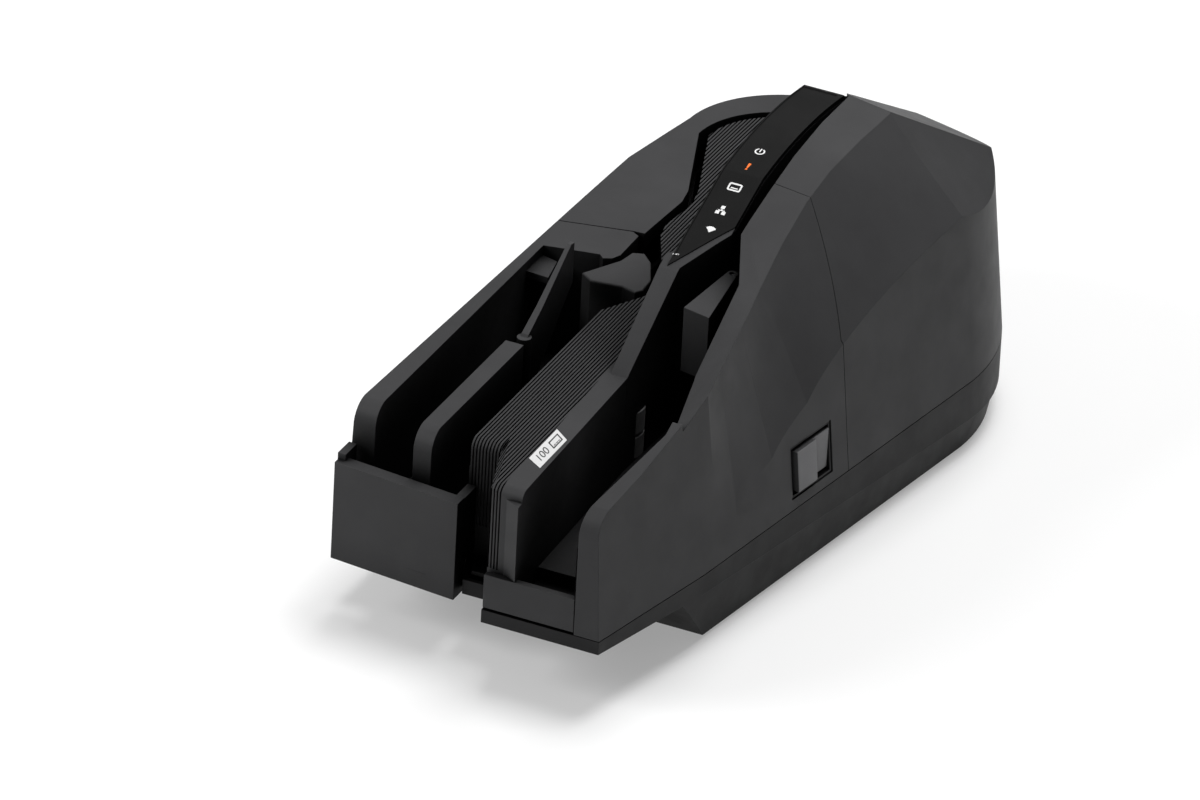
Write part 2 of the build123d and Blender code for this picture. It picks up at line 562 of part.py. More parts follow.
panel = block((PANEL_LEFT_X, PANEL_RIGHT_X), (0, PANEL_THICKNESS), (8.0, SILL_Z))
panel += block((PANEL_POST_X, PANEL_RIGHT_X), (0, PANEL_THICKNESS), (8.0, PANEL_POST_Z))
save("front_panel", panel & block((-60, HOPPER_WALL[0][0] - FIT), (-1, 10), (0, 60))
     + block((PANEL_POST_X, HOPPER_WALL[0][0] - FIT), (0, PANEL_THICKNESS), (8.0, PANEL_POST_Z)))

# ---- right cover: everything right of the paper path, behind the seam ----
COVER_STEP_Y = 318.0       # behind this the cover closes up to the spine
COVER_REAR_X = SLOT_RIGHT_X + 0.8
HINGE_CLEAR = 5.6
RIGHT_COVER_PLAN = [(GUIDE_RIGHT_X, 150), (GUIDE_RIGHT_X, COVER_STEP_Y - 8), (COVER_REAR_X, COVER_STEP_Y),
                    (COVER_REAR_X, 440), (120, 440), (120, 150)]
KNUCKLES = [(12.0, 21.0), (31.0, 40.0)]
LUGS = [(21.4, 30.6), (40.4, 50.0)]


def right_cover_body(thickness):
    plan = slab(inset(RIGHT_COVER_PLAN, thickness), -40, 200)
    return right_envelope(thickness) & plan & behind_seam(SEAM_GAP / 2 + thickness)


right_cover = right_cover_body(0.0) & ABOVE_BASE
right_cover -= right_cover_body(WALL)
under_lip = Pos(0, 0, -LIP) * right_envelope(0.0)
right_cover -= under_lip & block((-40, GUIDE_RIGHT_X + 5.5), (150, COVER_STEP_Y + 3), (-20, 200)) & behind_seam(-1)
right_cover -= block((-40, GUIDE_RIGHT_X + 5.5), (COVER_STEP_Y - 10, 403), (-20, 64))
right_cover -= post(RIGHT_HINGE, 0, 120, HINGE_CLEAR)
for low, high in KNUCKLES:
    right_cover += sleeve(RIGHT_HINGE, low, high, BARREL_R, HINGE_PIN_R + RUNNING)
    arm = slab([(RIGHT_HINGE[0] + 2.2, 406.5), (RIGHT_HINGE[0] + 9, 404.0), (RIGHT_HINGE[0] + 9, 408.0),
                (RIGHT_HINGE[0] + 2.2, 410.5)], low, high)
    right_cover += arm
save("right_cover", right_cover)
save("right_cover_pin", post(RIGHT_HINGE, 10.6, 51.0, HINGE_PIN_R))

# ---- left cover ----
LEFT_INNER = [(-97.0, 247.9), (-95.0, 284.4), (-97.0, 295.4), (-114.7, 345.0)]
LEFT_FRONT = [(-160.0, 234.0), (-101.8, 247.7)]
LEFT_COVER_STEP_X = -52.2
ROUND_X, ROUND_Y = TURN_X, TURN_Y
LEFT_TILT = 0.04


def turn_point(radius, angle):
    return TURN_X + radius * cos(radians(angle)), TURN_Y + radius * sin(radians(angle))


OUTER_R = TURN_R + TURN_GAP
LEFT_TURN = [turn_point(OUTER_R, a) for a in range(180, 95, -5)]
REAR_TOP_Y = TURN_Y + OUTER_R


def left_region(thickness):
    points = LEFT_FRONT + LEFT_INNER[:3] + LEFT_TURN + [(LEFT_COVER_STEP_X - 8, REAR_TOP_Y),
                                                        (LEFT_COVER_STEP_X, REAR_TOP_Y + 0.0),
                                                        (LEFT_COVER_STEP_X, 440), (-160, 440)]
    return slab(inset(points, thickness), -40, 200)


def low_body(inset):
    body = raise_face(casing_plan(inset), -20, 100) & low_top(inset)
    left = Vector(-1, 0.0316, LEFT_TILT).normalized()
    return body - beyond(Vector(LEFT_X, 38, SEAM_Z) - left * inset, left)


left_cover = (low_body(0.0) & left_region(0.0) & ABOVE_BASE) - (low_body(WALL) & left_region(WALL))
under_left = (Pos(0, 0, -LIP) * low_body(0.0)) & block((-150, -56), (200, 409), (-20, 80))
left_cover -= under_left & left_region(-0.5) & raise_face(shrink(casing_plan(0), WALL), -20, 100) & behind_seam(52.5)
left_cover -= Pos(0, 0, -LIP) * low_body(0.0) & block((-58, -50), (380, LEFT_HINGE[1] - 10), (-20, 80))
left_cover -= post(LEFT_HINGE, 0, 120, HINGE_CLEAR)
for low, high in KNUCKLES:
    left_cover += sleeve(LEFT_HINGE, low, high, BARREL_R, HINGE_PIN_R + RUNNING)
    left_cover += block((LEFT_HINGE[0] - 10, LEFT_HINGE[0] - 2.2), (LEFT_HINGE[1] - 1.8, LEFT_HINGE[1] + 1.8), (low, high))
save("left_cover", left_cover)
save("left_cover_pin", post(LEFT_HINGE, 10.6, 51.0, HINGE_PIN_R))

# ---- centre housing: the ribbed island, its raised spine and the fixed rear column ----
island_turn = [turn_point(TURN_R, angle) for angle in range(0, 181, 6)]
ISLAND = [(hopper_left_x(0), 0.0), (HOPPER_LEFT_X, RAMP_START_Y), (HOPPER_LEFT_X + 1.2, 172.0), (SLOT_RIGHT_X, THROAT_Y),
          (SLOT_RIGHT_X, 310.0)] + island_turn + [
          (-93.0, 298.0), (-90.0, 285.0), (-92.0, 260.0), (-89.8, 250.0), (-76.0, 222.0), (-70.5, 197.6),
          (ISLAND_LEFT_X, 172.6), (ISLAND_LEFT_X, ISLAND_FRONT_LEFT_Y), (-69.0, ISLAND_FRONT_LEFT_Y),
          (ISLAND_NOSE_X, ISLAND_FRONT_Y + 1), (-50.0, ISLAND_FRONT_Y)]
CREST_BACK = (SPINE_CREST[0] + SPINE_REAR[0]) / 2


def spine_profile(shift, front_y=RAMP_START_Y):
    """Side view of the spine, raised by shift, down to the deck."""
    rear_z = SPINE_REAR[1] - TAIL_FALL * (REAR_Y - SPINE_REAR[0])
    rise = [(0, y, z + shift) for y, z in SPINE]
    crest = (0, SPINE_CREST[0], SPINE_CREST[1] + shift)
    rear = (0, SPINE_REAR[0], SPINE_REAR[1] + shift)
    end = (0, REAR_Y, rear_z + shift)
    lines = Polyline(rear, end, (0, REAR_Y, DECK_TOP + SEAT), (0, front_y, DECK_TOP + SEAT), *rise)
    arc = ThreePointArc(rise[-1], crest, rear)
    return make_face([lines, arc])


def spine(left, right, shift):
    return Pos(left, 0, 0) * extrude(spine_profile(shift), right - left, dir=(1, 0, 0))


COLUMN_FRONT_Y = TURN_Y + OUTER_R + GUIDE_WALL + FIT + 0.5
COLUMN_LEFT_X, COLUMN_RIGHT_X = -51.0, -31.2
PATH_TOP = 50.0
strip_front = [(SPINE_LEFT_X, STRIP_FRONT_Y - 8), (SLOT_RIGHT_X, THROAT_Y), (SLOT_RIGHT_X, 440), (SPINE_LEFT_X, 440)]
ramp_plan = [(SPINE_FRONT_LEFT_X, RAMP_START_Y - 3), (HOPPER_LEFT_X, RAMP_START_Y - 3), (HOPPER_LEFT_X + 1.2, 172.0),
             (SLOT_RIGHT_X, THROAT_Y), (SLOT_RIGHT_X, THROAT_Y + 4), (SPINE_FRONT_LEFT_X, THROAT_Y - 18)]


def tail_limit(inset):
    """The round tail of the casing, for the spine's rear end."""
    height = 160.0
    bottom_r = TAIL_R - inset + SIDE_LEAN * (SEAM_Z + 20)
    cone = Solid.make_cone(bottom_r, bottom_r - SIDE_LEAN * height, height,
                           Plane(origin=(TAIL_X, TAIL_Y, -20)))
    return cone + block((-200, 100), (-50, TAIL_START_Y), (-20, 140))


island_low = DECK_TOP + SEAT


def island_block(thickness, foot):
    """The island without its spine, its front top edges rounded, drawn in by thickness."""
    solid = slab(inset(ISLAND, thickness) if thickness else ISLAND, foot, 120) & low_top(thickness)
    radius = ISLAND_ROUND - thickness
    for front_y, left, right in ((ISLAND_FRONT_LEFT_Y, -200, -69.0), (ISLAND_FRONT_Y, ISLAND_NOSE_X, 0)):
        corner = block((left, right), (front_y - 20, front_y + ISLAND_ROUND), (LOW_TOP - ISLAND_ROUND, 120))
        axis = Pos((left + right) / 2, front_y + ISLAND_ROUND, LOW_TOP - ISLAND_ROUND) * Rot(0, 90, 0)
        solid -= corner - axis * Cylinder(radius, right - left + 20)
    side = Vector(ISLAND_FRONT_Y - ISLAND_FRONT_LEFT_Y, -69.0 - ISLAND_NOSE_X, 0).normalized()
    middle = Vector(-69.0, ISLAND_FRONT_LEFT_Y, LOW_TOP) + side * -thickness
    bevel = (side + Vector(0, 0, 1)).normalized()
    cut = beyond(middle - Vector(0, 0, thickness) - bevel * (ISLAND_ROUND * 0.4), bevel)
    return solid - (cut & block((-69.0, ISLAND_NOSE_X), (0, 60), (50, 120)))


block_outer = island_block(0.0, island_low)
block_inner = island_block(WALL, island_low - 5)
plain_strip = [(-52.6, -5), (-52.6, 6), (-53.6, 12), (-54.9, 68), (-57.3, 124), (-57.3, 440), (0, 440), (0, -5)]
groove_zone = block_outer - island_block(RIB_DEPTH, island_low - 5)
groove_zone = groove_zone & (block((-200, 0), (-5, 420), (LOW_TOP - 1 - RIB_DEPTH - 12, 120))
                             + block((ISLAND_LEFT_X + 0.9, 0), (-5, ISLAND_FRONT_LEFT_Y + ISLAND_ROUND), (RIB_FOOT_Z, 120)))
groove_zone -= slab(plain_strip, 0, 200)
groove_zone -= side_slab([(60, 20), (60, LOW_TOP - 8), (420, LOW_TOP - 12), (420, 20)], -200, 0)
cuts = []
groove_x = -53.0
while groove_x > TURN_X - TURN_R:
    piece = groove_zone & block((groove_x - RIB_GROOVE, groove_x), (-5, 420), (0, 120))
    if piece is not None and piece.volume > 0:
        cuts.append(piece)
    groove_x -= RIB_PITCH

spine_plan_mask = slab(strip_front, -20, 200)
ramp_mask = slab(ramp_plan, -20, 200)
spine_outer = (spine(-60, SLOT_RIGHT_X, 0.0) & (spine_plan_mask + ramp_mask)) & tail_limit(0.0)
column_zone = block((COLUMN_LEFT_X, COLUMN_RIGHT_X), (COLUMN_FRONT_Y, 440), (-20, PATH_TOP + 1))
over_island = raise_face(region(ISLAND), 0, PATH_TOP + 1)
above_path = block((-100, 0), (100, 440), (PATH_TOP, 200))
spine_outer = spine_outer & (above_path + over_island + column_zone)
spine_inner = spine(-60, SLOT_RIGHT_X + 1, -WALL) & slab([
    (SPINE_LEFT_X + WALL, RAMP_START_Y + 20), (HOPPER_LEFT_X - WALL + 1.2, RAMP_START_Y + 20),
    (HOPPER_LEFT_X - WALL + 1.2, 174.5), (SLOT_RIGHT_X - WALL, THROAT_Y + 1.5), (SLOT_RIGHT_X - WALL, 400),
    (SPINE_LEFT_X + WALL, 400)], 30, 200)
spine_inner = spine_inner & (raise_face(region(inset(ISLAND, WALL)), 0, 200)
                             + block((-100, 0), (300, REAR_Y - 20), (PATH_TOP + WALL, 200)))
centre = block_outer + spine_outer
centre -= block_inner
centre -= spine_inner
for piece in cuts:
    centre -= piece
for point in DRIVE_POINTS:
    centre -= post(point, TYRE_LOW - 1.2, TYRE_HIGH + 1.2, DRIVE_R + 0.8)
centre -= block((-70, -35), (-10, PANEL_THICKNESS + FIT), (0, SILL_Z + FIT))
SENSOR_Y, SENSOR_Z = (241.0, 261.0), (14.0, 44.0)
centre -= block((SLOT_RIGHT_X - 5, SLOT_RIGHT_X + 1), SENSOR_Y, SENSOR_Z)
HEAD_Y, HEAD_Z = (222.0, 232.0), (14.0, 28.0)
centre -= block((SLOT_RIGHT_X - 5, SLOT_RIGHT_X + 1), HEAD_Y, HEAD_Z)
for axis, side in ((RIGHT_HINGE, 1), (LEFT_HINGE, -1)):
    for low, high in LUGS:
        web_x = sorted((axis[0], COLUMN_RIGHT_X - 2 if side > 0 else COLUMN_LEFT_X + 2))
        web = block(web_x, (axis[1] - 4.5, axis[1] - 0.2), (low, high))
        centre += web + post(axis, low, high, BARREL_R)
    centre -= post(axis, 10.5, 51.1, HINGE_PIN_R)

# ---- status strip on the spine ----
STRIP_PLAN = [(SPINE_LEFT_X, STRIP_LEFT_FRONT_Y), (SLOT_RIGHT_X, THROAT_Y + 4), (SLOT_RIGHT_X, STRIP_REAR_Y),
              (SPINE_LEFT_X, STRIP_REAR_Y)]


def strip_window(rim):
    """The glass in plan: a rim wide on the right and at the ends, and narrow along the ribs."""
    (fx, fy), right_front, right_rear, (rx, ry) = inset(STRIP_PLAN, rim)
    slope = (STRIP_PLAN[1][1] - STRIP_PLAN[0][1]) / (STRIP_PLAN[1][0] - STRIP_PLAN[0][0])
    widen = RIM_WIDTH - LEFT_RIM_WIDTH
    return [(fx - widen, fy - widen * slope), right_front, right_rear, (rx - widen, ry)]


strip_zone = slab(STRIP_PLAN, 60, 200)
centre -= (spine(-60, 0, 5.0) - spine(-60, 0, -BEZEL_THICKNESS)) & strip_zone
save("centre_housing", centre)
glass_plan = region(strip_window(RIM_WIDTH))
glass_zone = raise_face(glass_plan, 60, 200)
glass_hole = raise_face(region(strip_window(RIM_WIDTH - FIT / 2)), 60, 200)
bezel = (spine(-60, 0, BEZEL_PROUD) - spine(-60, 0, 0.1 - BEZEL_THICKNESS))
bezel = bezel & raise_face(region(inset(STRIP_PLAN, 0.15)), 60, 200)
save("status_bezel", bezel - glass_hole)
glass = (spine(-60, 0, 0.2) - spine(-60, 0, 0.1 - BEZEL_THICKNESS)) & glass_zone
save("status_glass", glass)

# ---- outer paper guide ----
GUIDE_OUT_LEFT = [(-96.8, 251.5), (-95.2, 284.4), (-98.0, 299.5)]
guide_inner = [(GUIDE_RIGHT_X, SEAM_SIDE_Y + 4), (GUIDE_RIGHT_X, 310.0)]
guide_inner += [turn_point(OUTER_R, a) for a in range(0, 181, 6)]
guide_inner += GUIDE_OUT_LEFT[::-1]
guide_outer = [(GUIDE_RIGHT_X + GUIDE_WALL, SEAM_SIDE_Y + 4), (GUIDE_RIGHT_X + GUIDE_WALL, 310.0)]
guide_outer += [turn_point(OUTER_R + GUIDE_WALL, a) for a in range(0, 181, 6)]
guide_outer += [(x - GUIDE_WALL, y) for x, y in GUIDE_OUT_LEFT[::-1]]
guide = slab(guide_inner + guide_outer[::-1], DECK_TOP + SEAT, GUIDE_TOP)
for point in (PINCH_RIGHT, PINCH_REAR, PINCH_LEFT):
    guide -= post(point, TYRE_LOW - 1.2, TYRE_HIGH + 1.2, PINCH_R + 0.8)
    guide -= post(point, 0, 60, COLLAR_R + 0.4)
guide -= block((GUIDE_RIGHT_X - 1, GUIDE_RIGHT_X + 4), SENSOR_Y, SENSOR_Z)
PRINT_Y, PRINT_Z = (304.0, 316.0), (24.0, 42.0)
guide -= block((-112, -96), (PRINT_Y[0] - 1, PRINT_Y[1] + 1), (PRINT_Z[0] - 1, GUIDE_TOP + 1))
save("outer_path_guide", guide)
path_floor = slab(inset([(GUIDE_RIGHT_X, 200.0)] + guide_inner[1:], FIT), DECK_TOP + SEAT, HOPPER_FLOOR_Z - 0.3)
path_floor -= slab(inset(ISLAND, -FIT), 0, 60)
path_floor -= block((-100, -85), (240, 252.5), (0, 60))
save("path_floor", path_floor)

# ---- upper bridge: holds the tops of the driven shafts inside the island ----
bridge = raise_face(region(inset(ISLAND, WALL + 0.4)), BRIDGE_BOTTOM, BRIDGE_TOP)
bridge -= block((-200, 0), (-10, PICK[1] - 22), (0, 100))
bridge -= block((-66, -52), (205, 262), (0, 100))
for point in DRIVE_POINTS:
    bridge -= post(point, 0, 100, SHAFT_R + RUNNING)
for spot in ((-74.0, 150.0), (-48.5, 222.0), (-80.0, 320.0), (-45.0, 330.0)):
    bridge += post(spot, DECK_TOP + SEAT, BRIDGE_BOTTOM + 0.5, 3.0)
save("bridge_plate", bridge)

# ---- rollers ----
ROLLER_NAMES = ["pick", "feed", "transport", "turn", "exit"]
for name, point in zip(ROLLER_NAMES, DRIVE_POINTS):
    tyre = sleeve(point, TYRE_LOW, TYRE_HIGH, DRIVE_R, 8.0)
    tyre -= sleeve(point, 31.0, 33.0, DRIVE_R + 1, DRIVE_R - 1.5)
    hub = sleeve(point, TYRE_LOW, TYRE_HIGH, 8.0, SHAFT_R)
    save(f"{name}_tyre", tyre)
    pulley = sleeve(point, PULLEY_LOW, PULLEY_HIGH, PULLEY_R, SHAFT_R)
    save(f"{name}_shaft", post(point, PULLEY_LOW - 1.5, BRIDGE_TOP + 2.5, SHAFT_R), hub, pulley)
save("shaft_bushes", *[sleeve(p, DECK_BOTTOM - 2, DECK_TOP + 2, BUSH_R, SHAFT_R + RUNNING) for p in DRIVE_POINTS])
IDLER_NAMES = ["retard", "pinch_right", "pinch_rear", "pinch_left"]
for name, point in zip(IDLER_NAMES, IDLERS):
    radius = RETARD_R if name == "retard" else PINCH_R
    save(f"{name}_roller", sleeve(point, TYRE_LOW, TYRE_HIGH, radius, PIN_R + RUNNING))
save("idler_pins", *[post(p, DECK_BOTTOM, TYRE_HIGH + 2.5, PIN_R)
                     + post(p, DECK_TOP, TYRE_LOW - 0.3, COLLAR_R) for p in IDLERS])

# ---- belt drive under the deck ----
belt_line = region([PICK, FEED, MOTOR, TRANSPORT, TURN, EXIT])
belt_in = offset(belt_line, PULLEY_R + BELT_GAP, kind=Kind.ARC)
belt_out = offset(belt_line, PULLEY_R + BELT_GAP + BELT_THICKNESS, kind=Kind.ARC)
save("drive_belt", raise_face(belt_out, PULLEY_LOW + 0.8, PULLEY_HIGH - 0.8)
     - raise_face(belt_in, PULLEY_LOW, PULLEY_HIGH))
motor = post(MOTOR, MOTOR_LOW, MOTOR_HIGH, MOTOR_R)
motor -= post(MOTOR, MOTOR_HIGH - 6, MOTOR_HIGH + 1, 2.5 + RUNNING)
save("motor", motor)
save("motor_shaft", post(MOTOR, MOTOR_HIGH - 5.7, PULLEY_HIGH + 1, 2.5),
     sleeve(MOTOR, PULLEY_LOW, PULLEY_HIGH, PULLEY_R, 2.5))

# ---- reading parts ----
save("inner_image_sensor", block((SLOT_RIGHT_X - 14, SLOT_RIGHT_X - WALL - FIT), (240, 262), (12, 46)))
save("outer_image_sensor", block((GUIDE_RIGHT_X + 2.3, GUIDE_RIGHT_X + 14), (240, 262), (12, 46)))
glass_y = (SENSOR_Y[0] + FIT, SENSOR_Y[1] - FIT)
glass_z = (SENSOR_Z[0] + FIT, SENSOR_Z[1] - FIT)
save("sensor_windows", block((SLOT_RIGHT_X - 2.5, SLOT_RIGHT_X - 0.2), glass_y, glass_z),
     block((GUIDE_RIGHT_X + 0.2, GUIDE_RIGHT_X + 2.0), glass_y, glass_z))
head = block((SLOT_RIGHT_X - 10, SLOT_RIGHT_X - 0.3), (HEAD_Y[0] + FIT, HEAD_Y[1] - FIT),
             (HEAD_Z[0] + FIT, HEAD_Z[1] - FIT))
save("magnetic_head", head + block((SLOT_RIGHT_X - 12, SLOT_RIGHT_X - 9.5), (HEAD_Y[0] - 1, HEAD_Y[1] + 1), (DECK_TOP + SEAT, 32)))

# ---- franking cartridge, lifted out of its holder under the left cover ----
CARTRIDGE = ((-127.5, -116.0), (294.0, 324.0))
CARTRIDGE_TOP = 46.0
holder = block((CARTRIDGE[0][0] - 1.9, CARTRIDGE[0][1] + 1.9), (CARTRIDGE[1][0] - 1.9, CARTRIDGE[1][1] + 1.9), (DECK_TOP + SEAT, 26))
holder -= block((CARTRIDGE[0][0] - 0.4, CARTRIDGE[0][1] + 0.4), (CARTRIDGE[1][0] - 0.4, CARTRIDGE[1][1] + 0.4), (12.5, 60))
holder -= block((-120, -100), (PRINT_Y[0] - 0.6, PRINT_Y[1] + 0.6), (16, 60))
save("cartridge_holder", holder)
cartridge = block(CARTRIDGE[0], CARTRIDGE[1], (12.6, CARTRIDGE_TOP))
cartridge += block((CARTRIDGE[0][1] - 1, -106.5), (PRINT_Y[0], PRINT_Y[1]), (PRINT_Z[0], PRINT_Z[1]))
cartridge += block((-124, -119.5), (300, 318), (CARTRIDGE_TOP - 1, CARTRIDGE_TOP + 7))
save("franking_cartridge", cartridge)

# ---- pockets ----
REAR_BLOCK = [(-160.0, 233.6), (-102.3, 246.8), (-98.4, 244.3), (-98.0, 223.7), (-100.0, 219.3), (-103.7, 217.2),
              (-106.5, 219.9), (POCKET_WALL_X, 214.4), (POCKET_WALL_X, POCKET_FRONT_Y - 5), (-160.0, POCKET_FRONT_Y - 5)]
pocket_outer = low_body(0.0) & slab(REAR_BLOCK, DECK_BOTTOM - 20, 200) & ABOVE_BASE
pocket_outer = pocket_outer & rounded_front(POCKET_FRONT_Y, LOW_TOP, SHOULDER_R)
block_hollow = region(inset(REAR_BLOCK, WALL))
pocket_inner = low_body(WALL) & raise_face(block_hollow, -20, 200)
pocket_inner = pocket_inner & rounded_front(POCKET_FRONT_Y + WALL, LOW_TOP - WALL, SHOULDER_R - WALL)
pocket_case = pocket_outer - pocket_inner
shelf = [(POCKET_WALL_X - 1, 199.7), (-124.3, 211.9), (-121.4, 196.3)]
pocket_case += slab([(POCKET_WALL_X - 1, 197.0), (-121.4, 196.3), (-124.3, 211.9), (POCKET_WALL_X - 1, 214.6)], 60.5, 64.0)
FLOOR_PLAN = [(POCKET_WALL_X - 1, POCKET_FRONT_Y + 1), (ISLAND_LEFT_X - 0.4, POCKET_FRONT_Y + 1),
              (ISLAND_LEFT_X - 0.4, 172.7), (-71.0, 197.7), (-76.4, 221.8), (-90.2, 249.7), (-94.8, 247.6),
              (-97.9, 244.0), (-97.5, 223.5), (-99.6, 218.8), (-104.0, 216.6), (POCKET_WALL_X - 1, 214.0)]
pocket_case += slab(FLOOR_PLAN, DECK_TOP + SEAT, POCKET_FLOOR_Z)
save("pocket_case", pocket_case)

divider = slab([(DIVIDER_LEFT_X, 31), (DIVIDER_RIGHT_X, 31), (DIVIDER_RIGHT_X, DIVIDER_SHORT_Y - 2),
                (DIVIDER_LEFT_X, DIVIDER_SHORT_Y - 2)], POCKET_FLOOR_Z + 0.1, LOW_TOP)
divider = divider & rounded_front(31.0, LOW_TOP, SHOULDER_R)
divider -= block((-120, -90), (20, POCKET_FRONT_Y + 0.8), (0, 22))
save("pocket_divider", divider)

FLAP_BARREL_R, FLAP_PIN_R, FLAP_THICKNESS = 3.4, 1.8, 2.4
save("flap_pin", post(FLAP_PIVOT, POCKET_FLOOR_Z + 0.1, LOW_TOP - 0.5, FLAP_PIN_R)
     + post(FLAP_PIVOT, POCKET_FLOOR_Z + 0.1, 18.6, FLAP_BARREL_R))
flap_side = [(FLAP_PIVOT[1], 22), (140, 22), (152, 46), (FLAP_TIP_Y, 68), (FLAP_TIP_Y + 4, 70), (FLAP_TIP_Y + 4, FLAP_TIP_Z - 1),
             (FLAP_TIP_Y, FLAP_TIP_Z), (150, 76), (134, LOW_TOP + 1), (FLAP_PIVOT[1], LOW_TOP)]
flap_plan = [(FLAP_PIVOT[0] - 1.8, FLAP_PIVOT[1] - 1), (FLAP_PIVOT[0] + 1.8, FLAP_PIVOT[1] - 1),
             (-105.4, FLAP_TIP_Y + 5), (-107.4, FLAP_TIP_Y + 5)]
flap = side_slab(flap_side, -140, -60) & slab(flap_plan, 0, 200)
flap += post(FLAP_PIVOT, 19.0, LOW_TOP, FLAP_BARREL_R)
flap -= post(FLAP_PIVOT, 0, LOW_TOP - 0.3, FLAP_PIN_R + RUNNING)
save("pocket_flap", flap)

GUIDE_TWO = [(-106.4, 200.4), (-96.0, 219.5), (-94.5, 229.0), (-88.9, 231.2), (-82.8, 224.9), (-75.6, 209.7),
             (-74.9, 199.3), (-77.3, 195.8), (-84.9, 197.9), (-99.9, 195.5)]
pocket_guide = slab(GUIDE_TWO, POCKET_FLOOR_Z + 0.1, LOW_TOP)
pocket_guide -= raise_face(region(inset(GUIDE_TWO, 2.0)), 0, LOW_TOP - 2.5)
save("pocket_guide", pocket_guide)

# ---- end stop tray across the pockets, on a sliding tongue ----
TRAY_THICKNESS = 7.0


def tray_line(depth):
    """The tray's plate between two depths, in plan."""
    left, right = (TRAY_LEFT_X, TRAY_LEFT_Y), (TRAY_RIGHT_X, TRAY_RIGHT_Y)
    return [left, right, (right[0], right[1] + depth), (left[0], left[1] + depth)]


def tray_slant_y(x):
    """How far back the tray's right side may reach before the slanted front of the base."""
    (left_x, left_y), (right_x, right_y) = CHIN_POINTS[1], CHIN_POINTS[2]
    return left_y + (right_y - left_y) * (x - left_x) / (right_x - left_x) - 0.8


tray = slab(tray_line(TRAY_THICKNESS), TRAY_BOTTOM, TRAY_TOP)
tray -= slab([(x, y + TRAY_WALL) for x, y in tray_line(0)[:2]] + [(TRAY_RIGHT_X + 1, 60), (TRAY_LEFT_X - 1, 60)], TRAY_BOTTOM - 1, 4.0)
tray += block((TRAY_LEFT_X, TRAY_LEFT_X + 4.0), (TRAY_LEFT_Y + 3, POCKET_FRONT_Y - 2.6), (7.5, 50.0))
tray += block((TRAY_RIGHT_X - 4.5, TRAY_RIGHT_X), (TRAY_RIGHT_Y + 3, ISLAND_FRONT_LEFT_Y - 0.6), (DECK_TOP + 2, 46.0))
tray_side = slab([(TRAY_RIGHT_X - 4.5, TRAY_RIGHT_Y + 3), (TRAY_RIGHT_X, TRAY_RIGHT_Y + 3),
                  (TRAY_RIGHT_X, tray_slant_y(TRAY_RIGHT_X)), (TRAY_RIGHT_X - 4.5, tray_slant_y(TRAY_RIGHT_X - 4.5))],
                 TRAY_BOTTOM, DECK_TOP + 3)
tray += tray_side & block((TRAY_LEFT_X, TRAY_RIGHT_X), (0, ISLAND_FRONT_LEFT_Y - 0.6), (TRAY_BOTTOM, TRAY_TOP))
tray += block(TONGUE_X, (18.0, 112.0), TONGUE_Z) & slab(
    [(TONGUE_X[0], 21.5), (TONGUE_X[1], 17.3), (TONGUE_X[1], 112), (TONGUE_X[0], 112)], 0, 10)
save("end_stop_tray", tray)

# ---- sockets and power button in the rear recess ----
BAY_FACE = BAY_Y


def socket(centre_x, centre_z, width, height, depth, name, tongue):
    body = block((centre_x - width / 2, centre_x + width / 2), (BAY_FACE - depth, BAY_FACE + 0.8),
                 (centre_z - height / 2, centre_z + height / 2))
    body -= block((centre_x - width / 2 + 1.2, centre_x + width / 2 - 1.2), (BAY_FACE - depth + 2, BAY_FACE + 2),
                  (centre_z - height / 2 + 1.2, centre_z + height / 2 - 1.2))
    body += block((centre_x - tongue[0] / 2, centre_x + tongue[0] / 2), (BAY_FACE - depth + 1, BAY_FACE - 3),
                  (centre_z - tongue[1] / 2 + tongue[2], centre_z + tongue[1] / 2 + tongue[2]))
    return body


SOCKETS = {"usb_socket": (-62.0, -6.0, 13.0, 12.0, 14.0, (6.0, 2.6, -1.2)),
           "network_socket": (-80.0, -6.0, 16.6, 14.6, 18.0, (9.0, 1.5, -4.5)),
           "power_inlet": (-47.0, -6.0, 11.4, 11.4, 14.0, (2.2, 2.2, 0.0))}
base_bay = base
for name, (cx, cz, width, height, depth, tongue) in SOCKETS.items():
    base_bay -= block((cx - width / 2 - 0.1, cx + width / 2 + 0.1), (BAY_Y - 20, BAY_Y + 5),
                      (cz - height / 2 - 0.1, cz + height / 2 + 0.1))
    save(name, socket(cx, cz, width, height, depth, name, tongue))
BUTTON = (-35.0, -6.0)
BUTTON_R = 3.6
button_axis = Plane(origin=(BUTTON[0], BAY_Y, BUTTON[1]), z_dir=(0, 1, 0))
base_bay -= button_axis * Pos(0, 0, -2) * Cylinder(BUTTON_R + 0.2, 20)
button = button_axis * Pos(0, 0, -1.4) * Cylinder(BUTTON_R, 6.6)
button += button_axis * Pos(0, 0, -3.7) * Cylinder(BUTTON_R + 1.2, 1.8)
save("power_button", button)
save("base_pan", base_bay)
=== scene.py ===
import math

import bmesh
import bpy
from mathutils import Matrix, Vector
from mathutils.bvhtree import BVHTree


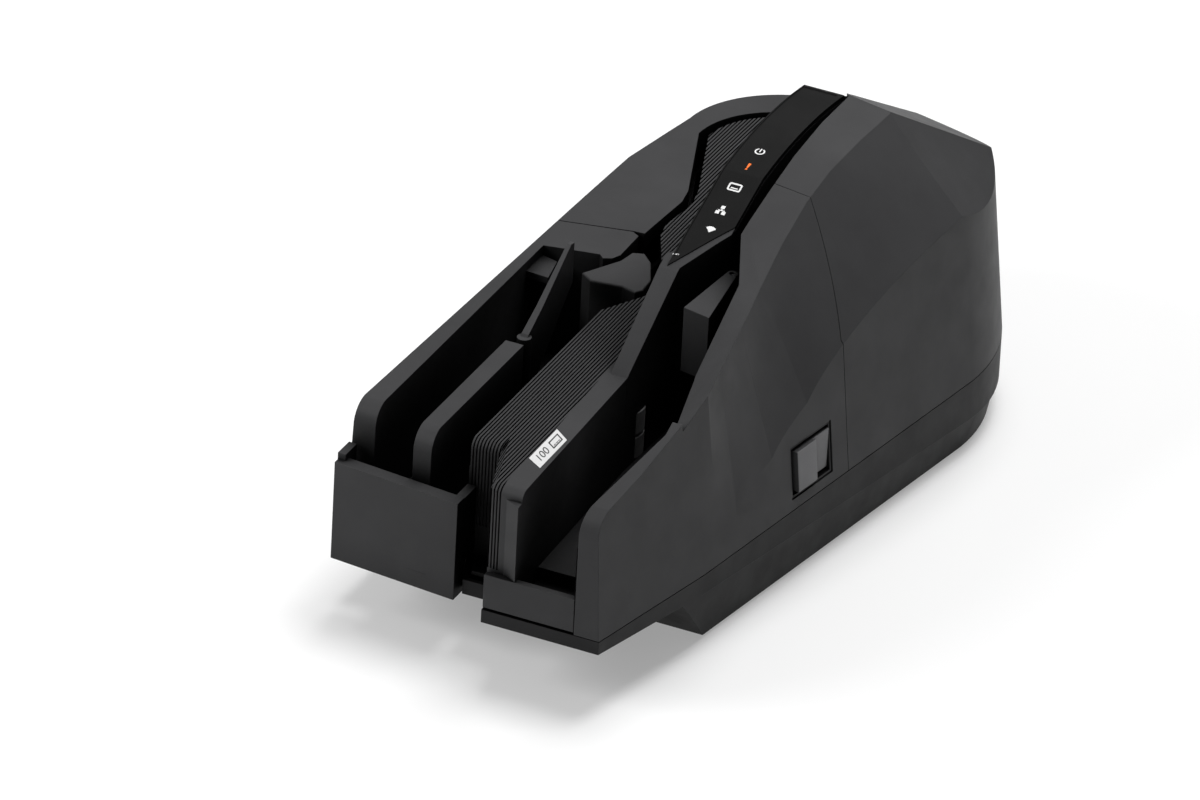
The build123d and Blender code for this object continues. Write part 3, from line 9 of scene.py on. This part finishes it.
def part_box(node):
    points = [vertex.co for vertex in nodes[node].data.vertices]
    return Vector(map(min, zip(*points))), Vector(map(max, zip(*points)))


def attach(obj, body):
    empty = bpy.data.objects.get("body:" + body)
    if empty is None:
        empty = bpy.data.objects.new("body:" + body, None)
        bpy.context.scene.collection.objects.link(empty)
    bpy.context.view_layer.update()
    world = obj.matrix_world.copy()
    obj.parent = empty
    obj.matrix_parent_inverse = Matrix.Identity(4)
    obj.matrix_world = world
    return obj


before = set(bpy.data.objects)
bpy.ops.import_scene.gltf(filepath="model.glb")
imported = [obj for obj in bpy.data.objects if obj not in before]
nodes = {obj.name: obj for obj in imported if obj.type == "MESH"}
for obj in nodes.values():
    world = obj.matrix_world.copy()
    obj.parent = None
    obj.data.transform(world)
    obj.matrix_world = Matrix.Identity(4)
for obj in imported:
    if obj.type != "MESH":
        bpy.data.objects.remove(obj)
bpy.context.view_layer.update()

scene = bpy.context.scene
MM = 0.001

# Places are written in millimetres from the right front corner of the base, at the foot of its front
# band: X to the right, Y to the rear, Z up. CORNER is that corner in the row frame.
CORNER = Vector((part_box("base_pan")[1].x - 50.0 * MM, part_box("base_pan")[0].y, 32.0 * MM))


def at(x, y, z):
    """A place on the object, in metres in the row frame."""
    return CORNER + Vector((x, y, z)) * MM


# ---- camera ----
AZIMUTH, ELEVATION, ROLL = math.radians(23.872), math.radians(29.754), math.radians(3.063)
DISTANCE = 6.72
LENS, SENSOR = 450.0, 36.0
CLIP_NEAR, CLIP_FAR = 0.1, 100.0
AIM_RIGHT, AIM_UP = 0.001344, 0.11424      # from the corner to the middle of the frame


def camera_axes():
    back = Vector((math.sin(AZIMUTH) * math.cos(ELEVATION), -math.cos(AZIMUTH) * math.cos(ELEVATION),
                   math.sin(ELEVATION)))
    level = Vector((math.cos(AZIMUTH), math.sin(AZIMUTH), 0.0))
    upright = back.cross(level)
    right = level * math.cos(ROLL) + upright * math.sin(ROLL)
    up = upright * math.cos(ROLL) - level * math.sin(ROLL)
    return right, up, back


def make_camera():
    right, up, back = camera_axes()
    data = bpy.data.cameras.new("camera")
    data.sensor_fit = "HORIZONTAL"
    data.sensor_width = SENSOR
    data.lens = LENS
    data.clip_start, data.clip_end = CLIP_NEAR, CLIP_FAR
    camera = bpy.data.objects.new("camera", data)
    scene.collection.objects.link(camera)
    place = at(0, 0, 0) + right * AIM_RIGHT + up * AIM_UP + back * DISTANCE
    turn = Matrix((right, up, back)).transposed().to_4x4()
    camera.matrix_world = Matrix.Translation(place) @ turn
    scene.camera = camera


make_camera()


# ---- node materials ----
NOISE_LOW, NOISE_HIGH = 0.3, 0.7           # the range in which most of a noise texture lies


def colour_socket(sockets, place=0):
    """One of the colour sockets of a mix node."""
    return [socket for socket in sockets if socket.type == "RGBA"][place]


class Tree:
    """A material's node tree, with short calls to add and link nodes."""

    def __init__(self, name):
        self.material = bpy.data.materials.new(name)
        self.material.use_nodes = True
        self.tree = self.material.node_tree
        self.tree.nodes.clear()
        self.output = self.add("ShaderNodeOutputMaterial")
        self.shader = self.add("ShaderNodeBsdfPrincipled")
        self.link(self.shader, "BSDF", self.output, "Surface")

    def add(self, kind, **values):
        node = self.tree.nodes.new(kind)
        for key, value in values.items():
            if hasattr(node, key):
                setattr(node, key, value)
            else:
                node.inputs[key.replace("_", " ")].default_value = value
        return node

    def link(self, source, source_socket, target, target_socket):
        self.tree.links.new(source.outputs[source_socket], target.inputs[target_socket])

    def join(self, output, socket):
        """Feed an output into one of the shader's sockets."""
        self.tree.links.new(output, self.shader.inputs[socket])

    def fix(self, **values):
        """Numbers that are the same everywhere, on the shader's own sockets."""
        for key, value in values.items():
            self.shader.inputs[key.replace("_", " ")].default_value = value

    def noise(self, scale, detail=3.0, roughness=0.5, stretch=(1, 1, 1)):
        place = self.add("ShaderNodeTexCoord")
        mapping = self.add("ShaderNodeMapping")
        mapping.inputs["Scale"].default_value = stretch
        texture = self.add("ShaderNodeTexNoise", Scale=scale, Detail=detail, Roughness=roughness)
        self.link(place, "Object", mapping, "Vector")
        self.link(mapping, "Vector", texture, "Vector")
        return texture

    def spread(self, texture, low, high):
        """The texture's middle range stretched to low..high."""
        spread = self.add("ShaderNodeMapRange")
        spread.inputs["From Min"].default_value = NOISE_LOW
        spread.inputs["From Max"].default_value = NOISE_HIGH
        spread.inputs["To Min"].default_value = low
        spread.inputs["To Max"].default_value = high
        self.tree.links.new(texture.outputs[0], spread.inputs["Value"])
        return spread

    def tint(self, factor_node, colour, other):
        """A mix of two colours, driven by a texture."""
        mix = self.add("ShaderNodeMix", data_type="RGBA")
        colour_socket(mix.inputs, 0).default_value = (*colour, 1)
        colour_socket(mix.inputs, 1).default_value = (*other, 1)
        self.tree.links.new(factor_node.outputs[0], mix.inputs[0])
        return colour_socket(mix.outputs)

    def relief(self, texture, strength, depth):
        """Fine relief on the shader's normal, with its depth in mm."""
        bump = self.add("ShaderNodeBump")
        bump.inputs["Strength"].default_value = strength
        bump.inputs["Distance"].default_value = depth * MM
        self.link(texture, "Fac", bump, "Height")
        self.link(bump, "Normal", self.shader, "Normal")
        return bump


def grey(level):
    """Linear value of an sRGB level from 0 to 255."""
    share = level / 255
    return share / 12.92 if share <= 0.04045 else ((share + 0.055) / 1.055) ** 2.4


def shades(colour, *factors):
    """The same colour, darker or lighter."""
    return [tuple(share * factor for share in colour) for factor in factors]


HOLLOW_DEPTH, PAINTED_HOLLOW_SHADE = 45.0, 2.5     # painted shade: deep pockets and slots are darkened inside through an ambient-occlusion factor on the colour
GRAIN_SCALE, GRAIN_STRENGTH, GRAIN_DEPTH = 1700.0, 0.5, 0.012
COOL = 1.03                                # blue against red and green
MOTTLE_DARK, MOTTLE_LIGHT = 0.90, 1.08
EDGE_WEAR_HIGHLIGHT_START, EDGE_WEAR_HIGHLIGHT_FULL = 0.98, 0.80           # cosine of the turn at an edge, where the painted highlight and the wear show
EDGE_WEAR_HIGHLIGHT_AMOUNT, EDGE_WEAR_HIGHLIGHT_GAIN, EDGE_WEAR_HIGHLIGHT_LIFT = 0.35, 1.7, 0.01
ROUGH_RANGE = 0.05


def plastic(name, level, roughness, rounding=0.5):
    """Moulded plastic: fine spark-eroded grain, faint mottling, edges lighter with wear and a painted
    highlight, painted shade in hollows.
    """
    t = Tree(name)
    base = grey(level)
    colour = (base, base, base * COOL)
    mottle = t.spread(t.noise(24.0, 4.0, 0.6), 0.0, 1.0)
    body = t.tint(mottle, *shades(colour, MOTTLE_DARK, MOTTLE_LIGHT))
    bevel = t.add("ShaderNodeBevel", samples=4)
    bevel.inputs["Radius"].default_value = rounding * MM
    geometry = t.add("ShaderNodeNewGeometry")
    bend = t.add("ShaderNodeVectorMath", operation="DOT_PRODUCT")
    t.link(bevel, "Normal", bend, 0)
    t.link(geometry, "Normal", bend, 1)
    # painted highlight and wear: where the rounded normal turns away from the true one, the colour is
    # lightened
    edge_wear_highlight = t.add("ShaderNodeMapRange")
    edge_wear_highlight.inputs["From Min"].default_value = EDGE_WEAR_HIGHLIGHT_START
    edge_wear_highlight.inputs["From Max"].default_value = EDGE_WEAR_HIGHLIGHT_FULL
    edge_wear_highlight.inputs["To Min"].default_value = 0.0
    edge_wear_highlight.inputs["To Max"].default_value = EDGE_WEAR_HIGHLIGHT_AMOUNT
    t.tree.links.new(bend.outputs["Value"], edge_wear_highlight.inputs["Value"])
    edge = t.add("ShaderNodeMix", data_type="RGBA")
    t.tree.links.new(edge_wear_highlight.outputs[0], edge.inputs[0])
    t.tree.links.new(body, colour_socket(edge.inputs, 0))
    colour_socket(edge.inputs, 1).default_value = (*(c * EDGE_WEAR_HIGHLIGHT_GAIN + EDGE_WEAR_HIGHLIGHT_LIFT for c in colour), 1)
    # painted shade: the colour is darkened by ambient occlusion in pockets, slots and other hollows
    open_sky = t.add("ShaderNodeAmbientOcclusion", samples=6)
    open_sky.inputs["Distance"].default_value = HOLLOW_DEPTH * MM
    painted_hollow_shade = t.add("ShaderNodeMath", operation="POWER")
    t.link(open_sky, "AO", painted_hollow_shade, 0)
    painted_hollow_shade.inputs[1].default_value = PAINTED_HOLLOW_SHADE
    shaded = t.add("ShaderNodeVectorMath", operation="SCALE")
    t.tree.links.new(colour_socket(edge.outputs), shaded.inputs[0])
    t.tree.links.new(painted_hollow_shade.outputs[0], shaded.inputs["Scale"])
    t.join(shaded.outputs[0], "Base Color")
    rough = t.spread(t.noise(60.0, 3.0, 0.6), roughness - ROUGH_RANGE, roughness + ROUGH_RANGE)
    t.join(rough.outputs[0], "Roughness")
    t.fix(Specular_IOR_Level=0.12)
    bump = t.relief(t.noise(GRAIN_SCALE, 2.0, 0.6), GRAIN_STRENGTH, GRAIN_DEPTH)
    t.link(bevel, "Normal", bump, "Normal")
    return t.material


def rubber(name, level):
    """Ground rubber: fine scratches round the tyre and a dusty bloom."""
    t = Tree(name)
    base = grey(level)
    bloom = t.spread(t.noise(90.0, 5.0, 0.7), 0.0, 1.0)
    t.join(t.tint(bloom, *shades((base,) * 3, 0.8, 1.25)), "Base Color")
    t.fix(Roughness=0.75, Specular_IOR_Level=0.3)
    t.relief(t.noise(700.0, 3.0, 0.6, (1, 1, 4)), 0.6, 0.04)
    return t.material


def metal(name, colour, roughness, stretch=(1, 1, 12)):
    """Turned or drawn metal with fine lines along one way."""
    t = Tree(name)
    streak = t.noise(900.0, 3.0, 0.6, stretch)
    shade = t.spread(streak, 0.0, 1.0)
    t.join(t.tint(shade, *shades(colour, 0.85, 1.0)), "Base Color")
    t.fix(Metallic=1.0)
    rough = t.spread(streak, roughness * 0.8, roughness * 1.25)
    t.join(rough.outputs[0], "Roughness")
    t.relief(streak, 0.3, 0.01)
    return t.material


def gloss(name, level):
    """Dark polished cover strip with faint polish marks."""
    t = Tree(name)
    base = grey(level)
    haze = t.spread(t.noise(70.0, 5.0, 0.6), 0.0, 1.0)
    t.join(t.tint(haze, *shades((base,) * 3, 0.9, 1.15)), "Base Color")
    rough = t.spread(t.noise(45.0, 4.0, 0.7), 0.14, 0.24)
    t.join(rough.outputs[0], "Roughness")
    t.fix(Specular_IOR_Level=0.45)
    return t.material


def board_green(name):
    """Solder mask with a grid of tracks below it."""
    t = Tree(name)
    place = t.add("ShaderNodeTexCoord")
    tracks = t.add("ShaderNodeTexBrick", Scale=260.0, Mortar_Size=0.06)
    tracks.inputs["Color1"].default_value = (0.008, 0.07, 0.03, 1)
    tracks.inputs["Color2"].default_value = (0.010, 0.09, 0.035, 1)
    tracks.inputs["Mortar"].default_value = (0.02, 0.16, 0.06, 1)
    t.link(place, "Object", tracks, "Vector")
    t.join(tracks.outputs["Color"], "Base Color")
    t.fix(Roughness=0.35)
    return t.material


def window_glass(name):
    """Thin reader window: dark tinted glass."""
    t = Tree(name)
    haze = t.spread(t.noise(150.0, 3.0, 0.6), 0.0, 1.0)
    t.join(t.tint(haze, (0.05, 0.07, 0.08), (0.07, 0.09, 0.10)), "Base Color")
    t.fix(Roughness=0.06, Specular_IOR_Level=0.6)
    return t.material


def ink(name, colour, roughness=0.5, painted_glow=0.0):
    """Printed mark, a little uneven, with an optional painted glow."""
    t = Tree(name)
    patch = t.spread(t.noise(1200.0, 3.0, 0.6), 0.0, 1.0)
    t.join(t.tint(patch, *shades(colour, 0.92, 1.0)), "Base Color")
    t.fix(Roughness=roughness)
    # painted glow: emission on printed ink
    if painted_glow:
        t.fix(Emission_Color=(*colour, 1), Emission_Strength=painted_glow)
    return t.material


MATERIALS = {
    "casing": plastic("casing_plastic", 61, 0.50),
    # the base's grey is set below the casing's as painted shade on its low, downward-facing sides
    "base": plastic("base_plastic", 40, 0.52),
    "dark_plastic": plastic("pocket_plastic", 52, 0.50),
    "inner_plastic": plastic("inner_plastic", 26, 0.55),
    "light_grey": plastic("lever_plastic", 118, 0.42, rounding=0.8),
    "gloss_black": gloss("strip_gloss", 20),
    "rubber_black": rubber("black_rubber", 30),
    "rubber_grey": rubber("grey_rubber", 92),
    "steel": metal("steel", (0.56, 0.56, 0.57), 0.28),
    "brass": metal("sintered_brass", (0.62, 0.45, 0.20), 0.40, (1, 1, 1)),
    "board_green": board_green("board_green"),
    "window_glass": window_glass("window_glass"),
    "chrome": metal("chrome", (0.70, 0.70, 0.72), 0.12),
}


# ---- the carried-over nodes: finish and softened edges ----
EDGE_WIDTH = {"end_stop_tray": 1.6, "pocket_divider": 1.8, "pocket_guide": 0.9, "front_panel": 0.4,
              "release_lever": 1.0, "rubber_feet": 0.8, "power_button": 0.6, "franking_cartridge": 0.5,
              "hopper_pusher": 0.7}
EDGE_TURN = math.radians(40)               # edges that turn more than this are softened
SMOOTH_ANGLE = math.radians(9.0)
WELD_DISTANCE = 0.002


def smooth_group():
    """Geometry nodes that shade a mesh smooth except along its sharp edges."""
    group = bpy.data.node_groups.new("smooth_by_angle", "GeometryNodeTree")
    group.interface.new_socket("Geometry", in_out="INPUT", socket_type="NodeSocketGeometry")
    group.interface.new_socket("Geometry", in_out="OUTPUT", socket_type="NodeSocketGeometry")
    add = group.nodes.new
    source, target = add("NodeGroupInput"), add("NodeGroupOutput")
    strip = add("GeometryNodeRemoveAttribute")
    strip.inputs["Name"].default_value = "custom_normal"
    smooth = add("GeometryNodeSetShadeSmooth")
    smooth.domain = "FACE"
    sharp = add("GeometryNodeSetShadeSmooth")
    sharp.domain = "EDGE"
    sharp.inputs["Shade Smooth"].default_value = False
    angle = add("GeometryNodeInputMeshEdgeAngle")
    above = add("FunctionNodeCompare")
    above.data_type = "FLOAT"
    above.operation = "GREATER_THAN"
    above.inputs[1].default_value = SMOOTH_ANGLE
    link = group.links.new
    link(source.outputs[0], strip.inputs["Geometry"])
    link(strip.outputs["Geometry"], smooth.inputs["Geometry"])
    link(smooth.outputs["Geometry"], sharp.inputs["Geometry"])
    link(angle.outputs["Unsigned Angle"], above.inputs[0])
    link(above.outputs["Result"], sharp.inputs["Selection"])
    link(sharp.outputs["Geometry"], target.inputs[0])
    return group


SMOOTH = smooth_group()


def finish_node(name, node):
    for place, material in enumerate(node.data.materials):
        node.data.materials[place] = MATERIALS[material.name.split(".")[0]]
    weld = node.modifiers.new("weld", "WELD")
    weld.merge_threshold = WELD_DISTANCE * MM
    if name in EDGE_WIDTH:
        bevel = node.modifiers.new("bevel", "BEVEL")
        bevel.width = EDGE_WIDTH[name] * MM
        bevel.segments = 3
        bevel.limit_method = "ANGLE"
        bevel.angle_limit = EDGE_TURN
        bevel.use_clamp_overlap = True
    smooth = node.modifiers.new("smooth", "NODES")
    smooth.node_group = SMOOTH


for name, node in nodes.items():
    finish_node(name, node)


# ---- printed marks ----
MARK_LIFT, MARK_THICKNESS = 0.04, 0.05
PLATE_LIFT, PLATE_THICKNESS = 0.10, 0.08
LABEL_INK_LIFT, LABEL_INK_THICKNESS = 0.14, 0.03
RAY_HEIGHT = 300                           # above every surface


class Surface:
    """Heights of a node's upper side, so that a mark lies on it."""

    def __init__(self, *names):
        self.trees = []
        for name in names:
            mesh = bmesh.new()
            mesh.from_mesh(nodes[name].data)
            self.trees.append(BVHTree.FromBMesh(mesh))
            mesh.free()

    def point(self, x, y, lift):
        start = at(x, y, RAY_HEIGHT)
        hits = [tree.ray_cast(start, Vector((0, 0, -1)))[0] for tree in self.trees]
        top = max(hit.z for hit in hits if hit is not None)
        return Vector((start.x, start.y, top + lift * MM))


def add_piece(name, mesh, material):
    piece = bpy.data.objects.new(name, mesh)
    scene.collection.objects.link(piece)
    mesh.materials.append(material)
    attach(piece, "chassis")
    return piece


def printed(name, outlines, surface, material, lift=MARK_LIFT, thickness=MARK_THICKNESS):
    """Flat closed outlines laid on a surface, with a little thickness."""
    mesh = bmesh.new()
    for outline in outlines:
        low = [mesh.verts.new(surface.point(x, y, lift - thickness)) for x, y in outline]
        high = [mesh.verts.new(surface.point(x, y, lift)) for x, y in outline]
        mesh.faces.new(high)
        mesh.faces.new(low[::-1])
        for i in range(len(outline)):
            j = (i + 1) % len(outline)
            mesh.faces.new((low[i], low[j], high[j], high[i]))
    bmesh.ops.recalc_face_normals(mesh, faces=mesh.faces)
    data = bpy.data.meshes.new(name)
    mesh.to_mesh(data)
    mesh.free()
    return add_piece(name, data, material)


def box_outline(x, y, width, height):
    return [(x - width / 2, y - height / 2), (x + width / 2, y - height / 2),
            (x + width / 2, y + height / 2), (x - width / 2, y + height / 2)]


def round_box(x, y, width, height, radius, steps=5):
    """Corners of a rectangle with round corners."""
    points = []
    for sx, sy, start in ((1, 1, 0), (-1, 1, 90), (-1, -1, 180), (1, -1, 270)):
        for step in range(steps + 1):
            angle = math.radians(start + 90 * step / steps)
            points.append((x + sx * (width / 2 - radius) + radius * math.cos(angle),
                           y + sy * (height / 2 - radius) + radius * math.sin(angle)))
    return points


def arc_band(x, y, inner, outer, start, end, steps=24):
    """Quads of a ring or part of one, between two angles in degrees."""
    quads = []
    for step in range(steps):
        a = math.radians(start + (end - start) * step / steps)
        b = math.radians(start + (end - start) * (step + 1) / steps)
        quads.append([(x + inner * math.cos(a), y + inner * math.sin(a)),
                      (x + outer * math.cos(a), y + outer * math.sin(a)),
                      (x + outer * math.cos(b), y + outer * math.sin(b)),
                      (x + inner * math.cos(b), y + inner * math.sin(b))])
    return quads


def frame_band(outer, inner):
    """Quads between two outlines with as many corners."""
    count = len(outer)
    return [[inner[i], outer[i], outer[(i + 1) % count], inner[(i + 1) % count]] for i in range(count)]


ICON_X = -41.0
ICON_Y = {"power": 246.5, "alert": 233.7, "cheque": 219.9, "network": 206.2, "wireless": 194.8}


def make_icons():
    glass = Surface("status_glass")
    # the icons' ink carries a painted glow through its emission
    white = ink("icon_white", (0.72, 0.72, 0.72), 0.5, 0.12)
    orange = ink("icon_orange", (0.80, 0.16, 0.03), 0.5, 0.35)
    x = ICON_X
    y = ICON_Y["power"]
    power = arc_band(x, y, 1.75, 2.45, 120, 420, 30) + [box_outline(x, y + 0.9, 0.65, 2.6)]
    printed("icon_power", power, glass, white)
    y = ICON_Y["alert"]
    bar = [(x - 0.4, y - 0.9), (x + 0.4, y - 0.9), (x + 0.65, y + 2.5), (x - 0.65, y + 2.5)]
    turns = [step * math.pi / 8 for step in range(16)]
    dot = [(x + 0.55 * math.cos(turn), y - 1.9 + 0.55 * math.sin(turn)) for turn in turns]
    printed("icon_alert", [bar, dot], glass, orange)
    y = ICON_Y["cheque"]
    cheque = frame_band(round_box(x, y, 6.6, 4.4, 0.9), round_box(x, y, 5.0, 2.8, 0.3))
    cheque.append(box_outline(x, y - 0.6, 3.4, 0.6))
    printed("icon_cheque", cheque, glass, white)
    y = ICON_Y["network"]
    network = [box_outline(x, y + 1.7, 1.9, 1.7), box_outline(x - 1.5, y - 1.4, 1.9, 1.7),
               box_outline(x + 1.5, y - 1.4, 1.9, 1.7), box_outline(x, y + 0.5, 0.5, 0.9),
               box_outline(x, y - 0.15, 3.4, 0.5)]
    printed("icon_network", network, glass, white)
    y = ICON_Y["wireless"] - 1.7
    rim = [math.radians(angle) for angle in range(45, 136, 10)]
    fan = [(x, y)] + [(x + 3.4 * math.cos(angle), y + 3.4 * math.sin(angle)) for angle in rim]
    printed("icon_wireless", [fan], glass, white)


GUIDE_MARK = (-50.2, 176.6)


def make_guide_mark():
    casing = Surface("centre_housing", "status_bezel")
    white = ink("mark_white", (0.62, 0.62, 0.62))
    x, y = GUIDE_MARK
    triangle = [(x - 1.5, y - 1.6), (x + 1.5, y - 1.6), (x, y + 0.9)]
    printed("guide_mark", [box_outline(x, y + 1.3, 3.2, 0.6), triangle], casing, white)


LABEL_CORNERS = [(-53.8, 34.5), (-45.6, 28.9), (-45.9, 57.7), (-54.1, 64.4)]
LABEL_NUMBER = "100"
NUMBER_SIZE = 7.6


def label_place(across, along):
    """A place on the label: across and along it from its front left corner, each from 0 to 1."""
    (ax, ay), (bx, by), (cx, cy), (dx, dy) = LABEL_CORNERS
    near = (ax + (bx - ax) * across, ay + (by - ay) * across)
    far = (dx + (cx - dx) * across, dy + (cy - dy) * across)
    return near[0] + (far[0] - near[0]) * along, near[1] + (far[1] - near[1]) * along


def make_label():
    """A plain white plate with the number of items the hopper takes and a cheque beside it."""
    top = Surface("centre_housing")
    paper = ink("label_white", (0.66, 0.66, 0.66), 0.55)
    black = ink("label_black", (0.012, 0.012, 0.012), 0.5)
    printed("label_plate", [LABEL_CORNERS], top, paper, PLATE_LIFT, PLATE_THICKNESS)
    outer = [label_place(u, v) for u, v in ((0.22, 0.60), (0.78, 0.60), (0.78, 0.93), (0.22, 0.93))]
    inner = [label_place(u, v) for u, v in ((0.30, 0.63), (0.70, 0.63), (0.70, 0.90), (0.30, 0.90))]
    lines = frame_band(outer, inner)
    for start, end in ((0.66, 0.72), (0.74, 0.80), (0.82, 0.87)):
        lines.append([label_place(0.60, start), label_place(0.66, start), label_place(0.66, end),
                      label_place(0.60, end)])
    printed("label_cheque", lines, top, black, LABEL_INK_LIFT, LABEL_INK_THICKNESS)
    letters = bpy.data.curves.new("label_number", "FONT")
    letters.body = LABEL_NUMBER
    letters.size = NUMBER_SIZE * MM
    letters.align_x, letters.align_y = "CENTER", "CENTER"
    holder = bpy.data.objects.new("label_number_curve", letters)
    scene.collection.objects.link(holder)
    bpy.context.view_layer.update()
    mesh = bpy.data.meshes.new_from_object(holder.evaluated_get(bpy.context.evaluated_depsgraph_get()))
    bpy.data.objects.remove(holder)
    x, y = label_place(0.5, 0.30)
    (ax, ay), (bx, by) = label_place(0, 0), label_place(0, 1)
    along = Vector((bx - ax, by - ay, 0)).normalized()
    (cx, cy), (dx, dy) = label_place(0, 0.3), label_place(1, 0.3)
    up = Vector((cx - dx, cy - dy, 0)).normalized()
    for vertex in mesh.vertices:
        shift = (along * vertex.co.x + up * vertex.co.y) / MM
        vertex.co = top.point(x + shift.x, y + shift.y, LABEL_INK_LIFT)
    mesh.materials.clear()
    add_piece("label_number", mesh, black)


make_icons()
make_guide_mark()
make_label()

# ---- floor and light ----
FLOOR_SIZE, FLOOR_DROP = 60.0, 0.0002
FLOOR_COLOUR = (0.60, 0.60, 0.60)
FLOOR_LIFT = 0.32
HORIZON_LIGHT, ZENITH_LIGHT = (0.05, 0.05, 0.05), (0.24, 0.24, 0.24)
LAMP_AIM = Vector((0, 0, 0.05))
# (name, place, size, power, whether polished surfaces show it)
LAMPS = [("key_lamp", (-1.632, -1.369, 1.491), 1.2, 30.0, True),
         ("rear_lamp", (0.0, 1.992, 1.671), 1.2, 9.0, True),
         ("top_lamp", (0.15, 0.5, 2.6), 1.4, 62.0, False)]


def make_floor():
    bpy.ops.mesh.primitive_plane_add(size=FLOOR_SIZE, location=(0, 0, -FLOOR_DROP))
    floor = bpy.context.object
    floor.name = "floor"
    t = Tree("floor_white")
    t.fix(Base_Color=(*FLOOR_COLOUR, 1), Roughness=0.9, Specular_IOR_Level=0.1)
    path = t.add("ShaderNodeLightPath")
    seen = t.add("ShaderNodeMath", operation="ADD")
    t.link(path, "Is Camera Ray", seen, 0)
    t.link(path, "Is Glossy Ray", seen, 1)
    seen_through = t.add("ShaderNodeMath", operation="ADD")
    t.link(seen, 0, seen_through, 0)
    t.link(path, "Is Transmission Ray", seen_through, 1)
    lift = t.add("ShaderNodeMath", operation="MULTIPLY")
    t.link(seen_through, 0, lift, 0)
    lift.inputs[1].default_value = FLOOR_LIFT
    t.fix(Emission_Color=(1, 1, 1, 1))
    t.link(lift, 0, t.shader, "Emission Strength")
    floor.data.materials.append(t.material)


def make_lamp(name, place, size, power, reflects):
    data = bpy.data.lights.new(name, "AREA")
    data.shape = "DISK"
    data.size = size
    data.energy = power
    lamp = bpy.data.objects.new(name, data)
    lamp.location = place
    aim = (LAMP_AIM - Vector(place)).to_track_quat("-Z", "Y")
    lamp.rotation_mode = "QUATERNION"
    lamp.rotation_quaternion = aim
    lamp.visible_glossy = reflects
    scene.collection.objects.link(lamp)


def make_world():
    world = bpy.data.worlds.new("studio")
    world.use_nodes = True
    tree = world.node_tree
    back = tree.nodes["Background"]
    place = tree.nodes.new("ShaderNodeTexCoord")
    split = tree.nodes.new("ShaderNodeSeparateXYZ")
    ramp = tree.nodes.new("ShaderNodeValToRGB")
    ramp.color_ramp.elements[0].position = 0.0
    ramp.color_ramp.elements[0].color = (*HORIZON_LIGHT, 1)
    ramp.color_ramp.elements[1].position = 1.0
    ramp.color_ramp.elements[1].color = (*ZENITH_LIGHT, 1)
    tree.links.new(place.outputs["Generated"], split.inputs[0])
    tree.links.new(split.outputs["Z"], ramp.inputs[0])
    tree.links.new(ramp.outputs[0], back.inputs["Color"])
    scene.world = world


make_floor()
make_world()
for lamp in LAMPS:
    make_lamp(*lamp)
scene.view_settings.view_transform = "Standard"
